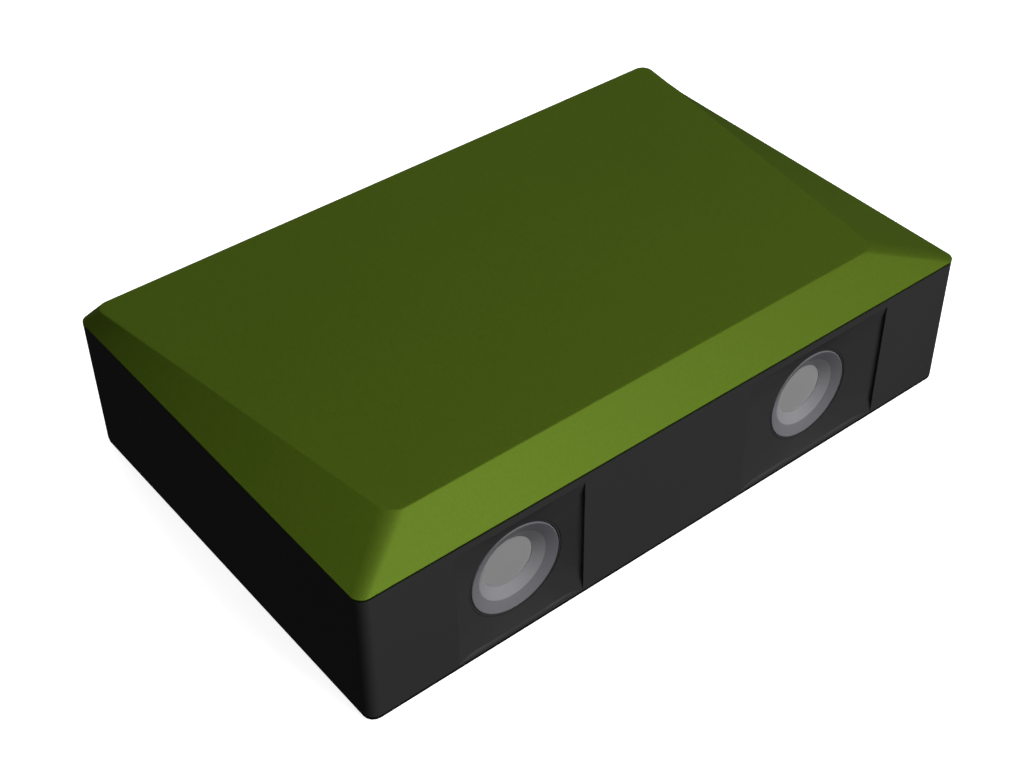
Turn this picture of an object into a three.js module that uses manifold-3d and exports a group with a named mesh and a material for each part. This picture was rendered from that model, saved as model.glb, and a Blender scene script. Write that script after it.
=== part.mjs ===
import * as THREE from 'three';
import { mergeVertices } from 'three/addons/utils/BufferGeometryUtils.js';
import Module from 'manifold-3d';

// A desk-top three-d scanner: a dark base with two lens windows in front, under a bevelled green cover.
// Sizes are in millimetres and +Z is up. The lenses look along -Y, with +X to the right from the front.
// Every piece is placed from the middle of the base's underside, and the whole then stands on z = 0.

// Casing
const bodyWidth = 200;
const bodyDepth = 129.4;
const baseHeight = 41.7;
const cornerRadius = 3.2;
const wall = 2.5;
const floorThickness = 2.6;
const bottomChamfer = 0.7;
const coverRise = 5.1;
const coverLip = 0.6;
const coverWall = 2.2;
const topInsetFront = 13.8;
const topInsetRear = 4;
const topInsetSideFront = 19.1;
const topInsetSideRear = 3.2;
const topCornerRadius = 5;

// Lenses and their windows
const lensHeight = 20;
const cameraX = -53.9;
const projectorX = 46.7;
const hoodRadius = 13.5;
const seatDepth = 2.4;
const mouthHeight = 37.6;
const cameraMouthWidth = 39.2;
const projectorMouthWidth = 51.2;

// Clearances: faces that rest on each other, pieces that slide into each other, and the overrun of every cut
const seatGap = 0.1;
const fitGap = 0.3;
const overrun = 1;

const quarterTurn = Math.PI / 2;
const fullTurn = 2 * Math.PI;
const roundSteps = 32;
const smallRoundSteps = 16;
const screwSteps = 8;
const hexSides = 6;
const slotSteps = 6;
const barrelSteps = 20;

const wasm = await Module();
wasm.setup();

// Six times the volume inside a skin, negative where its faces point inwards.
function signedVolume(skin) {
  const place = skin.getAttribute('position');
  const corners = [new THREE.Vector3(), new THREE.Vector3(), new THREE.Vector3()];
  let sum = 0;
  for (let i = 0; i < skin.index.count; i += 3) {
    corners.forEach((corner, k) => corner.fromBufferAttribute(place, skin.index.getX(i + k)));
    sum += corners[0].dot(corners[1].clone().cross(corners[2]));
  }
  return sum;
}

// Merges equal points, drops triangles that have shrunk to a line and turns all faces outwards.
function weld(geometry) {
  const loose = geometry.index ? geometry.toNonIndexed() : geometry;
  const bare = new THREE.BufferGeometry().setAttribute('position', loose.getAttribute('position').clone());
  const skin = mergeVertices(bare);
  const corners = Array.from(skin.index.array);
  const kept = [];
  for (let i = 0; i < corners.length; i += 3) {
    const triangle = corners.slice(i, i + 3);
    if (new Set(triangle).size === 3) kept.push(...triangle);
  }
  skin.setIndex(kept);
  if (signedVolume(skin) < 0) skin.setIndex(kept.reverse());
  return skin;
}

function solidOf(geometry) {
  const skin = weld(geometry);
  const vertProperties = new Float32Array(skin.getAttribute('position').array);
  const triVerts = new Uint32Array(skin.index.array);
  return new wasm.Manifold(new wasm.Mesh({ numProp: 3, vertProperties, triVerts }));
}

function geometryOf(solid) {
  const mesh = solid.getMesh();
  const geometry = new THREE.BufferGeometry();
  geometry.setAttribute('position', new THREE.BufferAttribute(mesh.vertProperties, 3));
  geometry.setIndex(new THREE.BufferAttribute(mesh.triVerts, 1));
  return geometry;
}

function combine(how, first, others) {
  const made = others.flat().reduce((solid, other) => solid[how](solidOf(other)), solidOf(first));
  return geometryOf(made);
}

function join(first, ...others) {
  return combine('add', first, others);
}

function cut(first, ...others) {
  return combine('subtract', first, others);
}

function common(first, ...others) {
  return combine('intersect', first, others);
}

// A block centred on x and y that stands on z.
function block(width, depth, height, x = 0, y = 0, z = 0) {
  return new THREE.BoxGeometry(width, depth, height).translate(x, y, z + height / 2);
}

// An upright rod that stands on z.
function rod(radius, height, x, y, z, steps = smallRoundSteps) {
  const upright = new THREE.CylinderGeometry(radius, radius, height, steps).rotateX(quarterTurn);
  return upright.translate(x, y, z + height / 2);
}

// A rod along +Y from y on.
function rodAlongY(radius, length, x, y, z, steps = smallRoundSteps) {
  return new THREE.CylinderGeometry(radius, radius, length, steps).translate(x, y + length / 2, z);
}

// A profile of [radius, place along the axis] turned about +Y.
function turned(profile, steps) {
  const points = profile.map(([radius, along]) => new THREE.Vector2(radius, along));
  return new THREE.LatheGeometry(points, steps);
}

// A turned ring: the same, with a profile that closes on itself.
function turnedRing(profile, steps) {
  return turned([...profile, profile[0]], steps);
}

// An outline of [x, y] drawn up along +Z.
function plate(outline, height, holes = []) {
  const shape = new THREE.Shape(outline.map(([x, y]) => new THREE.Vector2(x, y)));
  shape.holes = holes;
  return new THREE.ExtrudeGeometry(shape, { depth: height, bevelEnabled: false, curveSegments: slotSteps });
}

// An outline of [x, z] drawn back along +Y from y = 0.
function profileAlongY(outline, length, holes = []) {
  return plate(outline, length, holes).rotateX(quarterTurn).translate(0, length, 0);
}

function roundHole(x, y, radius, steps = smallRoundSteps) {
  const points = [];
  for (let i = 0; i < steps; i += 1) {
    const angle = (i / steps) * fullTurn;
    points.push(new THREE.Vector2(x + radius * Math.cos(angle), y + radius * Math.sin(angle)));
  }
  return new THREE.Path(points);
}

// A closed skin through rings of equally many points. A ring may repeat a point.
function loft(rings) {
  const triangles = [];
  const face = (...points) => points.forEach((point) => triangles.push(point.x, point.y, point.z));
  rings.slice(1).forEach((upper, r) => {
    const lower = rings[r];
    lower.forEach((point, i) => {
      const next = (i + 1) % lower.length;
      const leansForward = point.distanceTo(upper[next]) > lower[next].distanceTo(upper[i]);
      if (leansForward) {
        face(point, lower[next], upper[i]);
        face(lower[next], upper[next], upper[i]);
      } else {
        face(point, lower[next], upper[next]);
        face(point, upper[next], upper[i]);
      }
    });
  });
  const cap = (ring, side) => {
    const rim = ring.filter((point, i) => !point.equals(ring[(i + 1) % ring.length]));
    const outline = rim.map(({ x, y }) => new THREE.Vector2(x, y));
    THREE.ShapeUtils.triangulateShape(outline, []).forEach((corners) => {
      const [a, b, c] = corners.map((corner) => rim[corner]);
      const facing = Math.sign((b.x - a.x) * (c.y - a.y) - (b.y - a.y) * (c.x - a.x));
      if (facing === side) face(a, b, c);
      else face(a, c, b);
    });
  };
  cap(rings[0], -1);
  cap(rings[rings.length - 1], 1);
  const geometry = new THREE.BufferGeometry();
  return geometry.setAttribute('position', new THREE.Float32BufferAttribute(triangles, 3));
}

// A ring at height z round four rounded corners, front right first and anticlockwise from above.
const cornerSteps = 4;
function cornerRing(corners, radius, z, sideSteps = 1) {
  const points = corners.map(([x, y]) => new THREE.Vector2(x, y));
  const arcs = points.map((corner, k) => {
    const before = points[(k + points.length - 1) % points.length].clone().sub(corner).normalize();
    const after = points[(k + 1) % points.length].clone().sub(corner).normalize();
    const half = Math.acos(before.dot(after)) / 2;
    const middle = before.clone().add(after).setLength(radius / Math.sin(half)).add(corner);
    const start = before.setLength(radius / Math.tan(half)).add(corner);
    return Array.from({ length: cornerSteps + 1 }, (_, i) => {
      const turn = (i / cornerSteps) * (Math.PI - 2 * half);
      const { x, y } = start.clone().rotateAround(middle, turn);
      return new THREE.Vector3(x, y, z);
    });
  });
  return arcs.flatMap((arc, k) => {
    const from = arc[cornerSteps];
    const to = arcs[(k + 1) % arcs.length][0];
    const side = [];
    for (let i = 1; i < sideSteps; i += 1) side.push(from.clone().lerp(to, i / sideSteps));
    return [...arc, ...side];
  });
}

function oblongCorners(halfWidth, halfDepth) {
  const right = [[halfWidth, -halfDepth], [halfWidth, halfDepth]];
  const left = [[-halfWidth, halfDepth], [-halfWidth, -halfDepth]];
  return [...right, ...left];
}

// The casing's outline, drawn in by an inset.
function casingRing(inset, z, sideSteps = 1) {
  const corners = oblongCorners(bodyWidth / 2 - inset, bodyDepth / 2 - inset);
  return cornerRing(corners, Math.max(cornerRadius - inset, bottomChamfer), z, sideSteps);
}

function named(name, geometry, finish) {
  const skin = weld(geometry).toNonIndexed();
  skin.computeVertexNormals();
  const mesh = new THREE.Mesh(skin, new THREE.MeshStandardMaterial(finish));
  mesh.name = name;
  return mesh;
}

const darkPlastic = { color: 0x2e2e2e, roughness: 0.55, metalness: 0 };
const greenPaint = { color: 0x557319, roughness: 0.5, metalness: 0 };
const blackRubber = { color: 0x0c0c0c, roughness: 0.85, metalness: 0 };
const hoodGrey = { color: 0x66656a, roughness: 0.35, metalness: 0.5 };
const lensGlass = { color: 0x77767a, roughness: 0.08, metalness: 0 };
const blackMetal = { color: 0x18181a, roughness: 0.45, metalness: 0.8 };
const bareMetal = { color: 0xa9abae, roughness: 0.35, metalness: 1 };
const castMetal = { color: 0x6e7175, roughness: 0.5, metalness: 0.9 };
const brass = { color: 0xb08d4a, roughness: 0.35, metalness: 1 };
const boardGreen = { color: 0x1c4a30, roughness: 0.5, metalness: 0 };
const chipBlack = { color: 0x1a1b1d, roughness: 0.6, metalness: 0 };
const leadWhite = { color: 0xd8d6cf, roughness: 0.6, metalness: 0 };

const scanner = new THREE.Group();
const faceY = -bodyDepth / 2;
const rearY = bodyDepth / 2;
const innerRearY = rearY - wall;
const innerHalfWidth = bodyWidth / 2 - wall;

// Screws: a pan head with a hex socket, pointing down from the seat under its head.
function screw(headRadius, headHeight, shankRadius, shankLength) {
  const socketRadius = headRadius / 2;
  const socketDepth = headHeight / 2;
  const body = turned([
    [0, -shankLength],
    [shankRadius, -shankLength],
    [shankRadius, 0],
    [headRadius, 0],
    [headRadius, headHeight],
    [0, headHeight],
  ], screwSteps).rotateX(quarterTurn);
  return cut(body, rod(socketRadius, socketDepth + overrun, 0, 0, headHeight - socketDepth, hexSides));
}

// A set of like screws at places [x, y], seated at height z and named by number.
function screwSet(name, places, z, shape, upward = false) {
  places.forEach(([x, y], i) => {
    const mesh = named(`${name}_${i + 1}`, shape, bareMetal);
    mesh.position.set(x, y, z);
    if (upward) mesh.rotation.x = Math.PI;
    scanner.add(mesh);
  });
}

// Cover screws: they rise through deep counterbores in the base's corner posts into bosses under the cover.
const postInset = 10;
const postTop = 28;
const postWall = 1.5;
const coverHeadRadius = 2.9;
const coverHeadHeight = 2;
const coverShankRadius = 1.4;
const postShelf = 6;
const coverShankLength = 14;
const coverBossRadius = 3.6;
const counterboreRadius = coverHeadRadius + fitGap;
const postRadius = counterboreRadius + postWall;
const postX = bodyWidth / 2 - postInset;
const postY = bodyDepth / 2 - postInset;
const postPlaces = oblongCorners(postX, postY);
const coverScrewSeat = postTop - postShelf;

// Feet: rubber discs pressed into shallow round recesses.
const footStand = 1.2;
const footRecess = 1;
const footRadius = 6;
const footInsetX = 24;
const footInsetY = 16;
const footX = bodyWidth / 2 - footInsetX;
const footY = bodyDepth / 2 - footInsetY;
const footPlaces = oblongCorners(footX, footY);

// Tripod insert: a threaded bush in a boss in the middle of the floor.
const insertRadius = 4.6;
const insertBoreRadius = 2.65;
const insertLength = 10;
const insertChamfer = 0.6;
const tripodBossWall = 3.2;
const tripodBossRoof = 1.6;
const tripodBossRadius = insertRadius + tripodBossWall;
const tripodBossTop = insertLength + tripodBossRoof;

// Windows: behind each one the front wall is thickened to carry the lens.
const padDepth = 5.2;
const padMargin = 3;
const tongueDrop = 3;
const tongueWall = 1.5;
const sealWall = 0.6;
const mouthDepth = 1.05;
const mouthCornerDepth = 0.12;
const mouthCornerRun = 5;
const mouthRoot = 0.4;
const mouthSideSteps = 10;
const lensHoleRadius = hoodRadius + sealWall + 2 * seatGap;
const padTop = baseHeight - tongueDrop - fitGap;

// The hollow of one window, a funnel from the oblong mouth in the face to the round hole of the lens.
// The mouth is sunk evenly along its sides and comes up to the face in its corners.
function windowHollow(mouthWidth, lensX) {
  const corners = oblongCorners(mouthWidth / 2, mouthHeight / 2).map(([x, y]) => new THREE.Vector2(x, y));
  const face = [];
  const foot = [];
  const root = [];
  const seat = [];
  const end = [];
  corners.forEach((corner, k) => {
    const next = corners[(k + 1) % corners.length];
    for (let i = 0; i < mouthSideSteps; i += 1) {
      const share = i / mouthSideSteps;
      const rim = corner.clone().lerp(next, share);
      const toCorner = Math.min(rim.distanceTo(corner), rim.distanceTo(next));
      const sunk = 1 - (1 - Math.min(1, toCorner / mouthCornerRun)) ** 2;
      const depth = mouthCornerDepth + (mouthDepth - mouthCornerDepth) * sunk;
      const angle = (k + share - 1 / 2) * quarterTurn;
      const circle = new THREE.Vector2(Math.cos(angle), Math.sin(angle)).multiplyScalar(lensHoleRadius);
      const inward = circle.clone().sub(rim).setLength(mouthRoot * sunk);
      const inner = rim.clone().add(inward);
      face.push(new THREE.Vector3(rim.x, rim.y, overrun));
      foot.push(new THREE.Vector3(rim.x, rim.y, -depth + (depth / mouthDepth) * mouthRoot * sunk));
      root.push(new THREE.Vector3(inner.x, inner.y, -depth));
      seat.push(new THREE.Vector3(circle.x, circle.y, -seatDepth));
      end.push(new THREE.Vector3(circle.x, circle.y, -padDepth - overrun));
    }
  });
  return loft([face, foot, root, seat, end]).rotateX(quarterTurn).translate(lensX, faceY, lensHeight);
}

// The pad stays off the floor's chamfer and under the cover's tongue.
function windowPad(mouthWidth, lensX) {
  const depth = padDepth - wall + overrun;
  const height = padTop - floorThickness + overrun;
  const y = faceY + padDepth - depth / 2;
  return block(mouthWidth + 2 * padMargin, depth, height, lensX, y, floorThickness - overrun);
}

// Layout: two columns share the depth behind the windows. The left one holds the camera and then the control
// board, and the right one the projector, its lamp's heat sink and the fan.
const padRearY = faceY + padDepth;
const fanDepth = 10;
const fanFrontY = innerRearY - fitGap - fanDepth;
const cameraBodyDepth = 16;
const cameraBoardThickness = 1.6;
const connectorDepth = 2.2;
const cameraPlugGap = 1.1;
const boardRearGap = 4.2;
const boardRearY = innerRearY - boardRearGap;
const cameraBodyRun = cameraBodyDepth + seatGap + cameraBoardThickness + connectorDepth + cameraPlugGap;
const cameraBarrelShare = 0.347;
const cameraBodyFrontY = padRearY + (boardRearY - padRearY - cameraBodyRun) * cameraBarrelShare;
const cameraBodyRearY = cameraBodyFrontY + cameraBodyDepth;
const boardFrontY = cameraBodyFrontY + cameraBodyRun;
const neckDepth = 10;
const lampBoardThickness = 1.6;
const sinkFanGap = 5.1;
const lampRun = neckDepth + lampBoardThickness + 2 * seatGap + sinkFanGap;
const projectorRoom = fanFrontY - padRearY - lampRun;
const projectorBarrelShare = 0.27;
const engineShare = 0.487;
const engineFrontY = padRearY + projectorRoom * projectorBarrelShare;
const engineRearY = engineFrontY + projectorRoom * engineShare;
const neckRearY = engineRearY + neckDepth;
const lampBoardY = neckRearY + seatGap;
const sinkY = lampBoardY + lampBoardThickness + seatGap;
const sinkDepth = fanFrontY - sinkFanGap - sinkY;

// Bench: where the plate stands, on four posts.
const benchPostHeight = 2.2;
const benchThickness = 3;
const benchPostRadius = 4;
const benchScrewHeadRadius = 2.9;
const benchScrewHeadHeight = 2;
const benchScrewShankRadius = 1.4;
const benchBottom = floorThickness + benchPostHeight;
const benchTop = benchBottom + benchThickness;

// Control board: where it stands, on four taller posts at the left rear.
const boardThickness = 1.6;
const boardPostHeight = 5;
const boardPostRadius = 3;
const boardScrewInset = 4;
const boardScrewRearInset = 14;
const boardScrewRightInset = 8;
const boardScrewHeadRadius = 2.4;
const boardScrewHeadHeight = 1.6;
const boardScrewShankRadius = 1.1;
const boardScrewShankLength = 5;
const boardSideGap = 13.5;
const boardLeftX = boardSideGap - innerHalfWidth;
const boardBossGap = 4.2;
const boardRightX = -tripodBossRadius - boardBossGap;
const boardWidth = boardRightX - boardLeftX;
const boardDepth = boardRearY - boardFrontY;
const boardBottom = floorThickness + boardPostHeight;
const boardTop = boardBottom + boardThickness;
const boardScrewPlaces = [
  [boardRightX - boardScrewRightInset, boardFrontY + boardScrewInset],
  [boardRightX - boardScrewRightInset, boardRearY - boardScrewRearInset],
  [boardLeftX + boardScrewInset, boardRearY - boardScrewRearInset],
  [boardLeftX + boardScrewInset, boardFrontY + boardScrewInset],
];

// Fan: where it stands, against the rear wall behind the projector.
const fanSize = 35;
const fanX = projectorX;
const fanZ = floorThickness + fitGap + fanSize / 2;
const railWall = 1.6;
const railHeight = 24;
const stopHeight = 6;
const ventWidth = 2.2;
const ventPitch = 4.2;
const rearVentCount = 7;
const rearVentHeight = 27;
const floorVentCount = 7;
const floorVentInset = 2.5;
const floorVentLength = sinkDepth - 2 * floorVentInset;
const floorVentY = sinkY + sinkDepth / 2;

// Rear sockets and button: places along the rear wall.
const usbShare = 0.68;
const usbX = boardLeftX + boardWidth * usbShare;
const usbWidth = 12;
const usbHeight = 11;
const usbLength = 16.4;
const dcShare = 0.403;
const dcX = boardLeftX + boardWidth * dcShare;
const dcNoseRadius = 4.2;
const dcAxisHeight = 6;
const buttonShare = 0.18;
const buttonX = boardLeftX + boardWidth * buttonShare;
const buttonRadius = 4;
const buttonAxisHeight = 5.5;
const buttonProud = 1.2;
const usbZ = boardTop + seatGap + usbHeight / 2;
const dcZ = boardTop + seatGap + dcAxisHeight;
const buttonZ = boardTop + seatGap + buttonAxisHeight;

// A slot with round ends, upright or along y, as a tool that is longer than the wall.
function rearSlot(x, z, height) {
  const straight = height - ventWidth;
  const long = wall + 2 * overrun;
  const y = innerRearY - overrun;
  const middle = block(ventWidth, long, straight, x, y + long / 2, z - straight / 2);
  const ends = [-1, 1].map((side) => {
    return rodAlongY(ventWidth / 2, long, x, y, z + (side * straight) / 2, slotSteps);
  });
  return join(middle, ends);
}

function floorSlot(x, y, length) {
  const straight = length - ventWidth;
  const long = floorThickness + 2 * overrun;
  const middle = block(ventWidth, straight, long, x, y, -overrun);
  const ends = [-1, 1].map((side) => {
    return rod(ventWidth / 2, long, x, y + (side * straight) / 2, -overrun, slotSteps);
  });
  return join(middle, ends);
}

function rowOf(count, pitch, middle) {
  return Array.from({ length: count }, (_, i) => middle + (i - (count - 1) / 2) * pitch);
}

// Bench plate: a bar across the front with a foot for the camera body and a wide pad under the projector.
const benchFrontGap = 9.2;
const benchBarReach = 4;
const benchEngineReach = 2;
const benchCameraOuter = 26.1;
const benchCameraInner = 19.9;
const benchEngineInner = 28.7;
const benchEngineOuter = 33.3;
const benchFrontY = padRearY + benchFrontGap;
const benchBarRearY = cameraBodyFrontY + benchBarReach;
const benchCameraRearY = cameraBodyRearY;
const benchEngineRearY = engineRearY + benchEngineReach;
const benchLeftX = cameraX - benchCameraOuter;
const benchCameraEdgeX = cameraX + benchCameraInner;
const benchEngineEdgeX = projectorX - benchEngineInner;
const benchRightX = projectorX + benchEngineOuter;
const benchSlant = 8;
const benchCorner = 4;
const benchScrewInset = 5;
const benchHoleRadius = 6;
const benchHoleCount = 3;
const benchHolePitch = 18;
const benchMiddleX = (benchCameraEdgeX + benchEngineEdgeX) / 2;
const benchMiddleScrewX = benchMiddleX - benchHolePitch / 2;
const benchScrewPlaces = [
  [benchLeftX + benchScrewInset, benchCameraRearY - benchScrewInset],
  [benchMiddleScrewX, benchFrontY + benchScrewInset],
  [benchRightX - benchScrewInset, benchFrontY + benchScrewInset],
  [benchRightX - benchScrewInset, benchEngineRearY - benchScrewInset],
];

function basePosts() {
  const corner = postPlaces.map(([x, y]) => rod(postRadius, postTop, x, y, 0));
  const gussets = postPlaces.flatMap(([x, y]) => {
    const reach = postInset - wall / 2;
    const height = coverScrewSeat - floorThickness;
    return [
      block(reach, postWall, height, x + (Math.sign(x) * reach) / 2, y, floorThickness),
      block(postWall, reach, height, x, y + (Math.sign(y) * reach) / 2, floorThickness),
    ];
  });
  const bench = benchScrewPlaces.map(([x, y]) => {
    return rod(benchPostRadius, benchBottom - seatGap - overrun, x, y, overrun, screwSteps);
  });
  const board = boardScrewPlaces.map(([x, y]) => {
    return rod(boardPostRadius, boardBottom - seatGap - overrun, x, y, overrun, screwSteps);
  });
  return [corner, gussets, bench, board].flat();
}

function baseHoles() {
  const sunken = coverScrewSeat + overrun;
  const corner = postPlaces.map(([x, y]) => rod(counterboreRadius, sunken, x, y, -overrun));
  const cornerThrough = postPlaces.map(([x, y]) => {
    return rod(coverShankRadius + fitGap, postTop + overrun, x, y, 0, screwSteps);
  });
  const bench = benchScrewPlaces.map(([x, y]) => {
    return rod(benchScrewShankRadius + seatGap, benchBottom, x, y, floorThickness - overrun, screwSteps);
  });
  const board = boardScrewPlaces.map(([x, y]) => {
    return rod(boardScrewShankRadius + seatGap, boardBottom, x, y, floorThickness, screwSteps);
  });
  const feet = footPlaces.map(([x, y]) => rod(footRadius + fitGap, footRecess + overrun, x, y, -overrun));
  const insert = rod(insertRadius + seatGap, insertLength + seatGap + overrun, 0, 0, -overrun);
  return [corner, cornerThrough, bench, board, feet, insert].flat();
}

function fanRails() {
  const sideX = fanSize / 2 + fitGap + railWall / 2;
  const length = innerRearY - fanFrontY + railWall;
  const y = innerRearY + overrun - (length + overrun) / 2;
  const sides = [-1, 1].map((side) => {
    return block(railWall, length + overrun, railHeight, fanX + side * sideX, y, floorThickness - overrun);
  });
  const width = 2 * sideX + railWall;
  const stopY = fanFrontY - fitGap - railWall / 2;
  return [...sides, block(width, railWall, stopHeight, fanX, stopY, floorThickness - overrun)];
}

function baseHousing() {
  const outside = loft([
    casingRing(bottomChamfer, 0),
    casingRing(0, bottomChamfer),
    casingRing(0, baseHeight),
  ]);
  const inside = loft([casingRing(wall, floorThickness), casingRing(wall, baseHeight + overrun)]);
  const tub = join(
    cut(outside, inside),
    windowPad(cameraMouthWidth, cameraX),
    windowPad(projectorMouthWidth, projectorX),
    rod(tripodBossRadius, tripodBossTop, 0, 0, 0),
    basePosts(),
    fanRails(),
  );
  const wallCut = wall + 2 * overrun;
  const wallCutY = innerRearY - overrun;
  return cut(
    tub,
    windowHollow(cameraMouthWidth, cameraX),
    windowHollow(projectorMouthWidth, projectorX),
    baseHoles(),
    rowOf(rearVentCount, ventPitch, fanX).map((x) => rearSlot(x, fanZ, rearVentHeight)),
    rowOf(floorVentCount, ventPitch, fanX).map((x) => floorSlot(x, floorVentY, floorVentLength)),
    block(
      usbWidth + 2 * fitGap, wallCut, usbHeight + 2 * fitGap,
      usbX, wallCutY + wallCut / 2, usbZ - usbHeight / 2 - fitGap,
    ),
    rodAlongY(dcNoseRadius + fitGap, wallCut, dcX, wallCutY, dcZ),
    rodAlongY(buttonRadius + fitGap, wallCut, buttonX, wallCutY, buttonZ),
  );
}
scanner.add(named('base_housing', baseHousing(), darkPlastic));

// Feet and tripod insert
function foot() {
  const chamfer = footStand / 2;
  return turned([
    [0, -footStand],
    [footRadius - chamfer, -footStand],
    [footRadius, chamfer - footStand],
    [footRadius, footRecess - seatGap],
    [0, footRecess - seatGap],
  ], smallRoundSteps).rotateX(quarterTurn);
}
footPlaces.forEach(([x, y], i) => {
  const mesh = named(`rubber_foot_${i + 1}`, foot(), blackRubber);
  mesh.position.set(x, y, 0);
  scanner.add(mesh);
});

function tripodInsert() {
  return turnedRing([
    [insertBoreRadius + insertChamfer, 0],
    [insertRadius, 0],
    [insertRadius, insertLength],
    [insertBoreRadius, insertLength],
    [insertBoreRadius, insertChamfer],
  ], smallRoundSteps).rotateX(quarterTurn);
}
scanner.add(named('tripod_insert', tripodInsert(), brass));

// Cover: a level trapezoid top inside twisted bevels, hollow below, with a tongue inside the base's rim.
const coverSideSteps = 6;
const ribWall = 1.6;
const ribDrop = 2;
const ribCount = 3;

// The level top's corners, drawn in by an inset.
function topCorners(inset) {
  const front = -bodyDepth / 2 + topInsetFront + inset;
  const rear = bodyDepth / 2 - topInsetRear - inset;
  const halfFront = bodyWidth / 2 - topInsetSideFront - inset;
  const halfRear = bodyWidth / 2 - topInsetSideRear - inset;
  return [[halfFront, front], [halfRear, rear], [-halfRear, rear], [-halfFront, front]];
}

function topCover() {
  const bottom = baseHeight + seatGap;
  const top = baseHeight + coverRise;
  const rimInset = wall + fitGap + tongueWall;
  const outside = loft([
    casingRing(0, bottom, coverSideSteps),
    casingRing(0, bottom + coverLip, coverSideSteps),
    cornerRing(topCorners(0), topCornerRadius, top, coverSideSteps),
  ]);
  const inside = loft([
    casingRing(rimInset, bottom - overrun, coverSideSteps),
    casingRing(rimInset, bottom, coverSideSteps),
    cornerRing(topCorners(coverWall), topCornerRadius - coverWall, top - coverWall, coverSideSteps),
  ]);
  const under = loft([
    casingRing(wall + fitGap, postTop),
    casingRing(wall + fitGap, bottom + coverLip),
  ]);
  const tongueRing = cut(
    loft([casingRing(wall + fitGap, bottom - tongueDrop), casingRing(wall + fitGap, bottom + coverLip / 2)]),
    loft([casingRing(rimInset, bottom - tongueDrop - overrun), casingRing(rimInset, bottom + overrun)]),
  );
  const bossFoot = postTop + seatGap;
  const bosses = postPlaces.map(([x, y]) => {
    return rod(coverBossRadius, top - bossFoot, x, y, bossFoot, screwSteps);
  });
  const ribBottom = top - coverWall - ribDrop;
  const ribs = rowOf(ribCount, bodyWidth / (ribCount + 1), 0).map((x) => {
    return block(ribWall, 2 * postY, ribDrop + coverWall / 2, x, 0, ribBottom);
  });
  const inner = common(join(under, outside), join(bosses[0], bosses.slice(1), ribs));
  const pilots = postPlaces.map(([x, y]) => {
    const depth = coverShankLength - postShelf + overrun;
    return rod(coverShankRadius + seatGap, depth + overrun, x, y, bossFoot - overrun, screwSteps);
  });
  return cut(join(cut(outside, inside), tongueRing, inner), pilots);
}
scanner.add(named('top_cover', topCover(), greenPaint));
const coverScrew = screw(coverHeadRadius, coverHeadHeight, coverShankRadius, coverShankLength);
screwSet('cover_screw', postPlaces, coverScrewSeat - seatGap, coverScrew, true);

// Optical bench
const flangeThickness = 3;
const smallScrewHeadRadius = 2.2;
const smallScrewHeadHeight = 1.6;
const smallScrewShankRadius = 1.1;
const tabReach = 19.5;
const cameraMountGap = 9.5;
const cameraMountY = padRearY + cameraMountGap;
const cameraMountDepth = 10;
const engineHalfWidth = 22;
const engineTabOut = 3.5;
const engineTabInset = 6;
const engineTabReach = engineHalfWidth + engineTabOut;
const engineTabY = engineFrontY + engineTabInset;
const mountScrewY = cameraMountY + cameraMountDepth / 2;
const mountScrewPlaces = [-1, 1].map((side) => [cameraX + side * tabReach, mountScrewY]);
const engineScrewPlaces = [-1, 1].map((side) => [projectorX + side * engineTabReach, engineTabY]);

function opticalBench() {
  const outline = [
    [benchLeftX + benchCorner, benchFrontY],
    [benchRightX - benchCorner, benchFrontY],
    [benchRightX, benchFrontY + benchCorner],
    [benchRightX, benchEngineRearY - benchCorner],
    [benchRightX - benchCorner, benchEngineRearY],
    [benchEngineEdgeX + benchCorner, benchEngineRearY],
    [benchEngineEdgeX, benchEngineRearY - benchCorner],
    [benchEngineEdgeX, benchBarRearY + benchSlant],
    [benchEngineEdgeX - benchSlant, benchBarRearY],
    [benchCameraEdgeX + benchSlant, benchBarRearY],
    [benchCameraEdgeX, benchBarRearY + benchSlant],
    [benchCameraEdgeX, benchCameraRearY],
    [benchLeftX + benchCorner, benchCameraRearY],
    [benchLeftX, benchCameraRearY - benchCorner],
    [benchLeftX, benchFrontY + benchCorner],
  ];
  const barY = (benchFrontY + benchBarRearY) / 2;
  const light = rowOf(benchHoleCount, benchHolePitch, benchMiddleX).map((x) => {
    return roundHole(x, barY, benchHoleRadius);
  });
  const screws = benchScrewPlaces.map(([x, y]) => {
    return roundHole(x, y, benchScrewShankRadius + fitGap, screwSteps);
  });
  const small = [...mountScrewPlaces, ...engineScrewPlaces].map(([x, y]) => {
    return roundHole(x, y, smallScrewShankRadius + seatGap, screwSteps);
  });
  return plate(outline, benchThickness, [...light, ...screws, ...small]).translate(0, 0, benchBottom);
}
scanner.add(named('optical_bench', opticalBench(), bareMetal));
const benchShankLength = benchThickness + benchPostHeight;
const benchScrew = screw(
  benchScrewHeadRadius, benchScrewHeadHeight, benchScrewShankRadius, benchShankLength,
);
screwSet('bench_screw', benchScrewPlaces, benchTop + seatGap, benchScrew);
const smallShankLength = flangeThickness + benchThickness - seatGap;
const smallScrew = screw(
  smallScrewHeadRadius, smallScrewHeadHeight, smallScrewShankRadius, smallShankLength,
);
const flangeTop = benchTop + seatGap + flangeThickness;
screwSet('camera_mount_screw', mountScrewPlaces, flangeTop + seatGap, smallScrew);
screwSet('engine_screw', engineScrewPlaces, flangeTop + seatGap, smallScrew);

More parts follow.
